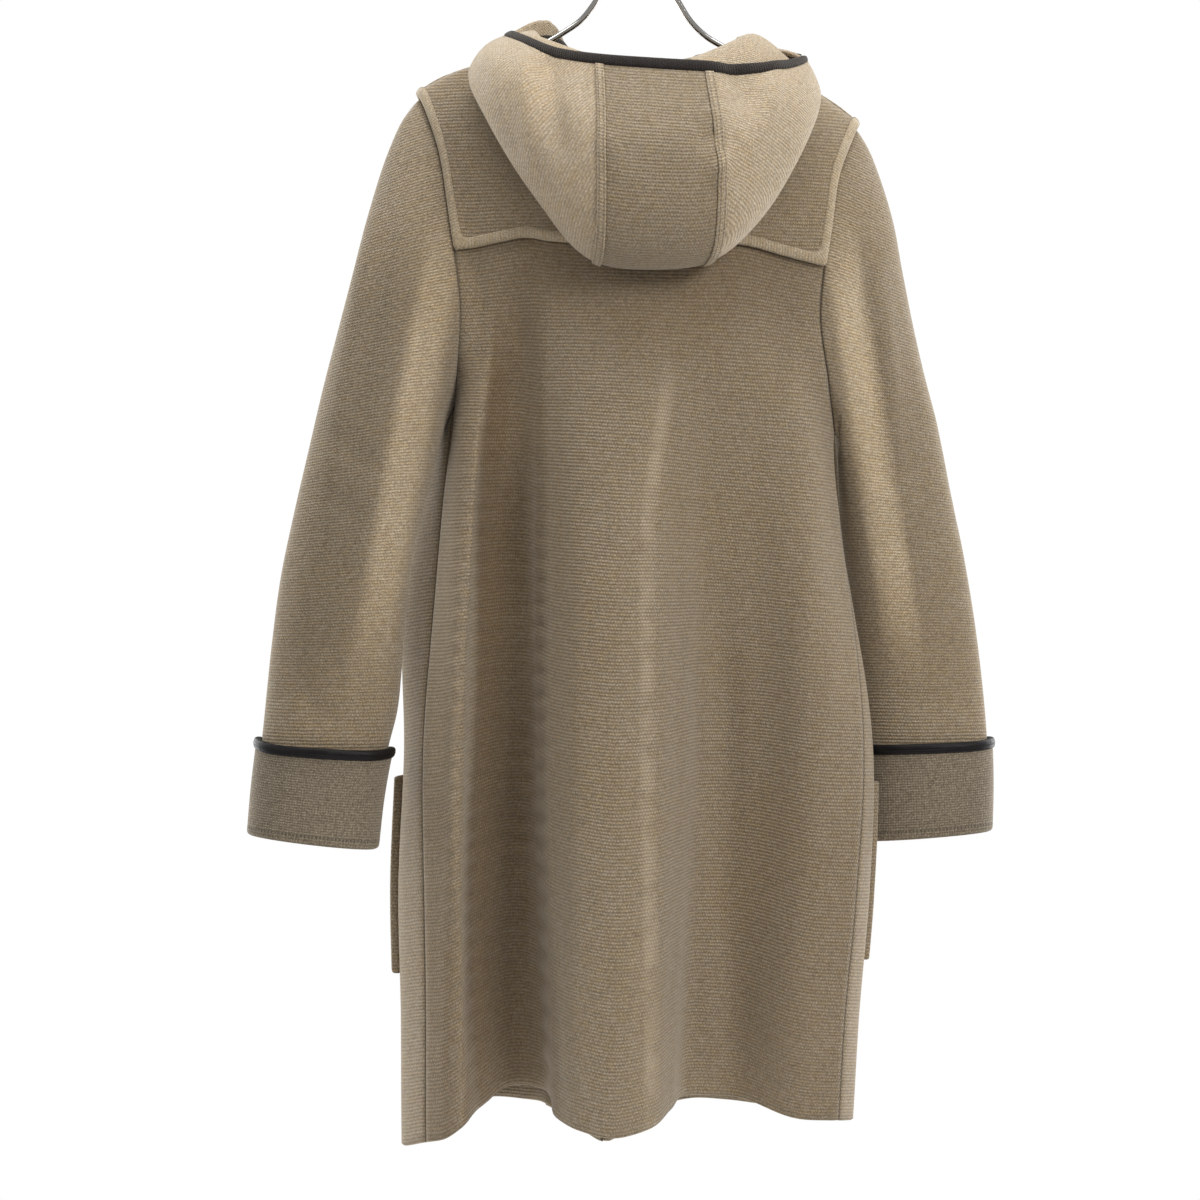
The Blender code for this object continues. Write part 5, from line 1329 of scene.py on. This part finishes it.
def horn_finish():
    """Polished dark horn with paler streaks along the toggle."""
    finish = Finish("horn", Specular_IOR_Level=0.55, Coat_Roughness=0.12)
    streak = finish.noise(60, 4, 0.6, stretch=(0.12, 1, 1))
    fine_streak = finish.noise(380, 2, 0.5, stretch=(0.08, 1, 1))
    tone = finish.mix(streak.ramp(0.45, 0.68), HORN_DARK, HORN_PALE)
    pale_line = fine_streak.ramp(0.5, 0.7) * 0.4
    finish.feed("Base Color", finish.mix(pale_line, tone, tuple(0.6 * v for v in HORN_PALE)))
    finish.feed("Roughness", 0.24 + fine_streak * 0.2)
    finish.bump(fine_streak, 0.0001)
    return finish.material


def row_at(grid, drop):
    """Find where each line of a grid reaches a drop, as fractional rows."""
    steps = np.arange(grid.shape[0])
    return np.array([np.interp(drop, grid[:, c, 2], steps) for c in range(grid.shape[1])])


def front_spot(edge, across, drop, lift):
    """Give a point above the fronts, beside the outer free edge; left of it the under front counts."""
    grid, out, stand = fronts, front_out, lift
    if across < 0:
        grid, out = left_front, left_out
        stand = lift + LAP_LIFT * max(0.0, 1 + across / LAP_RUN)
    line = np.arange(grid.shape[1], dtype=float)
    row = row_at(grid, drop)
    places, outs = spot(grid, row, line)[2:-2], spot(out, row, line)[2:-2]
    place, direction = (np.array([np.interp(edge + across, places[:, 0], values[:, k]) for k in range(3)])
                        for values in (places, outs))
    return place + unit(direction) * stand


def turned_toggle(name, middle):
    """Turn a horn toggle: a disc is drawn out step by step, with a groove round its middle where the cords
    sit.
    """
    deselect()
    start = TOGGLE_PROFILE[0]
    bpy.ops.mesh.primitive_circle_add(vertices=28, radius=start[0] * TOGGLE_RADIUS * MM, fill_type="NGON",
                                      location=((middle[0] + start[1] * TOGGLE_LENGTH) * MM, middle[1] * MM,
                                                -middle[2] * MM), rotation=(0, math.radians(90), 0))
    toggle = bpy.context.object
    toggle.name = toggle.data.name = name
    bpy.ops.object.transform_apply(location=True, rotation=True, scale=True)
    bpy.ops.object.mode_set(mode="EDIT")
    bpy.ops.mesh.select_all(action="SELECT")
    for before, after in zip(TOGGLE_PROFILE, TOGGLE_PROFILE[1:]):
        centre = ((middle[0] + after[1] * TOGGLE_LENGTH) * MM, middle[1] * MM, -middle[2] * MM)
        bpy.ops.mesh.extrude_region_move(
            TRANSFORM_OT_translate={"value": ((after[1] - before[1]) * TOGGLE_LENGTH * MM, 0, 0)})
        factor = after[0] / before[0]
        bpy.ops.transform.resize(value=(1, factor, factor), center_override=centre)
    bpy.ops.mesh.select_all(action="SELECT")
    bpy.ops.mesh.normals_make_consistent(inside=False)
    bpy.ops.object.mode_set(mode="OBJECT")
    soft = toggle.modifiers.new("rounded ends", "BEVEL")
    soft.width = TOGGLE_EDGE * MM
    soft.segments = 2
    soft.angle_limit = math.radians(50)
    bpy.ops.object.modifier_apply(modifier=soft.name)
    bpy.ops.object.shade_smooth_by_angle(angle=math.radians(40))
    return toggle


horn, stitched_leather = horn_finish(), patch_finish()
base = CLOTH / 2 + SLACK
cord_lift = base + PATCH_SKIN + CORD + CLEAR
patch_ways, patch_falls = np.linspace(0, 1, 25), np.linspace(-0.5, 0.5, 21)
patch_flat = np.stack(np.meshgrid((patch_ways - 0.5) * PATCH_LENGTH, -(patch_falls + 0.5) * PATCH_HEIGHT),
                      axis=-1) * MM
for number, drop in enumerate(TOGGLE_DROPS, start=1):
    line = np.arange(fronts.shape[1], dtype=float)
    edge = spot(fronts, row_at(fronts, drop), line)[outer_edge, 0]
    for name, start in (("loop_patch", LOOP_PATCH), ("toggle_patch", TOGGLE_PATCH)):
        patch = np.zeros((*patch_flat.shape[:2], 3))
        for j, down in enumerate(patch_falls):
            squeeze = 1 - 0.12 * abs(2 * down)**9
            for k, way in enumerate(patch_ways):
                across = start + PATCH_LENGTH * (0.5 + (way - 0.5) * squeeze)
                low = drop + down * PATCH_HEIGHT * (1 - 0.08 * abs(2 * way - 1)**9)
                patch[j, k] = front_spot(edge, across, low, base + PATCH_SKIN / 2)
        skin = cloth_piece("leather_%s_%d" % (name, number), patch, -normals(patch), thick=PATCH_SKIN,
                           chart=patch_flat)
        settle(skin, "%s_%d" % (name, number), stitched_leather)
    middle = front_spot(edge, TOGGLE_ACROSS, drop, cord_lift + CORD + CLEAR / 2 + TOGGLE_RADIUS)
    settle(turned_toggle("horn_toggle_%d" % number, middle), "toggle_%d" % number, horn)
    for name, start, way in (("loop", LOOP_PATCH + CORD_START, -1),
                             ("toggle_cord", TOGGLE_PATCH + PATCH_LENGTH - CORD_START, 1)):
        tip = TOGGLE_ACROSS - way * (CORD + CLEAR / 2)
        legs = np.linspace(start, tip - way * CORD_SPREAD, 6)
        path = [front_spot(edge, across, drop - CORD_SPREAD, cord_lift) for across in legs]
        path.append(front_spot(edge, tip, drop, cord_lift))
        path += [front_spot(edge, across, drop + CORD_SPREAD, cord_lift) for across in legs[::-1]]
        path.append(front_spot(edge, start - way * CORD_SPREAD, drop, cord_lift))
        curve = smooth(np.array(path + path[:1]), 4)[:-1]
        cord = bent_wire("cord_%s_%d" % (name, number), curve, CORD, closed=True)
        settle(cord, "%s_%d" % (name, number), leather)


# Studio, in metres: a plain pale floor below the hanging coat, a white surround, and large soft lights. The
# camera stands level with the coat's middle, square to its back.
FLOOR_DROP = 1.5
FLOOR_RADIUS = 1.1
SENSOR = 36            # in millimetres
SURROUND_LIGHT = 0.36
VIEW_AWAY = 2.2
VIEW_WIDTH = 1.032     # at the hanger
VIEW_ACROSS = -0.031
VIEW_DROP = 0.621
deselect()
bpy.ops.mesh.primitive_circle_add(vertices=96, radius=FLOOR_RADIUS, fill_type="NGON",
                                  location=(0, 0, -FLOOR_DROP))
floor = bpy.context.object
floor.name = "studio_floor"
paper = Finish("pale_paper", Roughness=0.9)
paper.feed("Base Color", paper.mix(paper.noise(6, 2), (0.84, 0.84, 0.84), (0.88, 0.88, 0.88)))
floor.data.materials.append(paper.material)

world = bpy.data.worlds.new("white_surround")
bpy.context.scene.world = world
world.use_nodes = True
nodes, links = world.node_tree.nodes, world.node_tree.links
surround = nodes["Background"]
surround.inputs["Color"].default_value = (1.0, 0.99, 0.97, 1.0)
surround.inputs["Strength"].default_value = SURROUND_LIGHT
seen = nodes.new("ShaderNodeBackground")
seen.inputs["Strength"].default_value = 1.0
seen.inputs["Color"].default_value = (1, 1, 1, 1)
chooser, path = nodes.new("ShaderNodeMixShader"), nodes.new("ShaderNodeLightPath")
links.new(path.outputs["Is Camera Ray"], chooser.inputs[0])
links.new(surround.outputs[0], chooser.inputs[1])
links.new(seen.outputs[0], chooser.inputs[2])
links.new(chooser.outputs[0], nodes["World Output"].inputs[0])


def soft_light(name, place, aim, width, height, power, colour):
    """Hang a large soft light that faces a point."""
    light = bpy.data.lights.new(name, "AREA")
    light.shape, light.size, light.size_y = "RECTANGLE", width, height
    light.energy, light.color = power, colour
    lamp = bpy.data.objects.new(name, light)
    bpy.context.collection.objects.link(lamp)
    start, end = (Vector(point) for point in (place, aim))
    lamp.location = start
    lamp.rotation_euler = (end - start).to_track_quat("-Z", "Y").to_euler()


soft_light("key", (1.7, -2.1, 0.7), (0, 0, -0.6), 0.8, 0.9, 45, (1.0, 0.98, 0.95))
soft_light("fill", (-1.9, -1.5, 0.2), (0, 0, -0.6), 1.2, 1.6, 9, (1.0, 0.99, 0.98))
soft_light("side_left", (-1.5, 1.0, -0.4), (0, 0, -0.6), 1.4, 2.0, 42, (1.0, 1.0, 1.0))
soft_light("side_right", (1.5, 1.0, -0.4), (0, 0, -0.6), 1.4, 2.0, 42, (1.0, 1.0, 1.0))
soft_light("top", (0.0, -0.5, 1.3), (0, 0, -0.3), 1.6, 1.2, 30, (1.0, 1.0, 1.0))

camera_data = bpy.data.cameras.new("camera")
camera_data.sensor_width = SENSOR
camera_data.lens = SENSOR * VIEW_AWAY / VIEW_WIDTH
camera = bpy.data.objects.new("camera", camera_data)
bpy.context.collection.objects.link(camera)
camera.location = (VIEW_ACROSS, -VIEW_AWAY, -VIEW_DROP)
camera.rotation_euler = (math.radians(90), 0, 0)
bpy.context.scene.camera = camera
bpy.context.scene.view_settings.view_transform = "Standard"
bpy.context.scene.view_settings.look = "None"
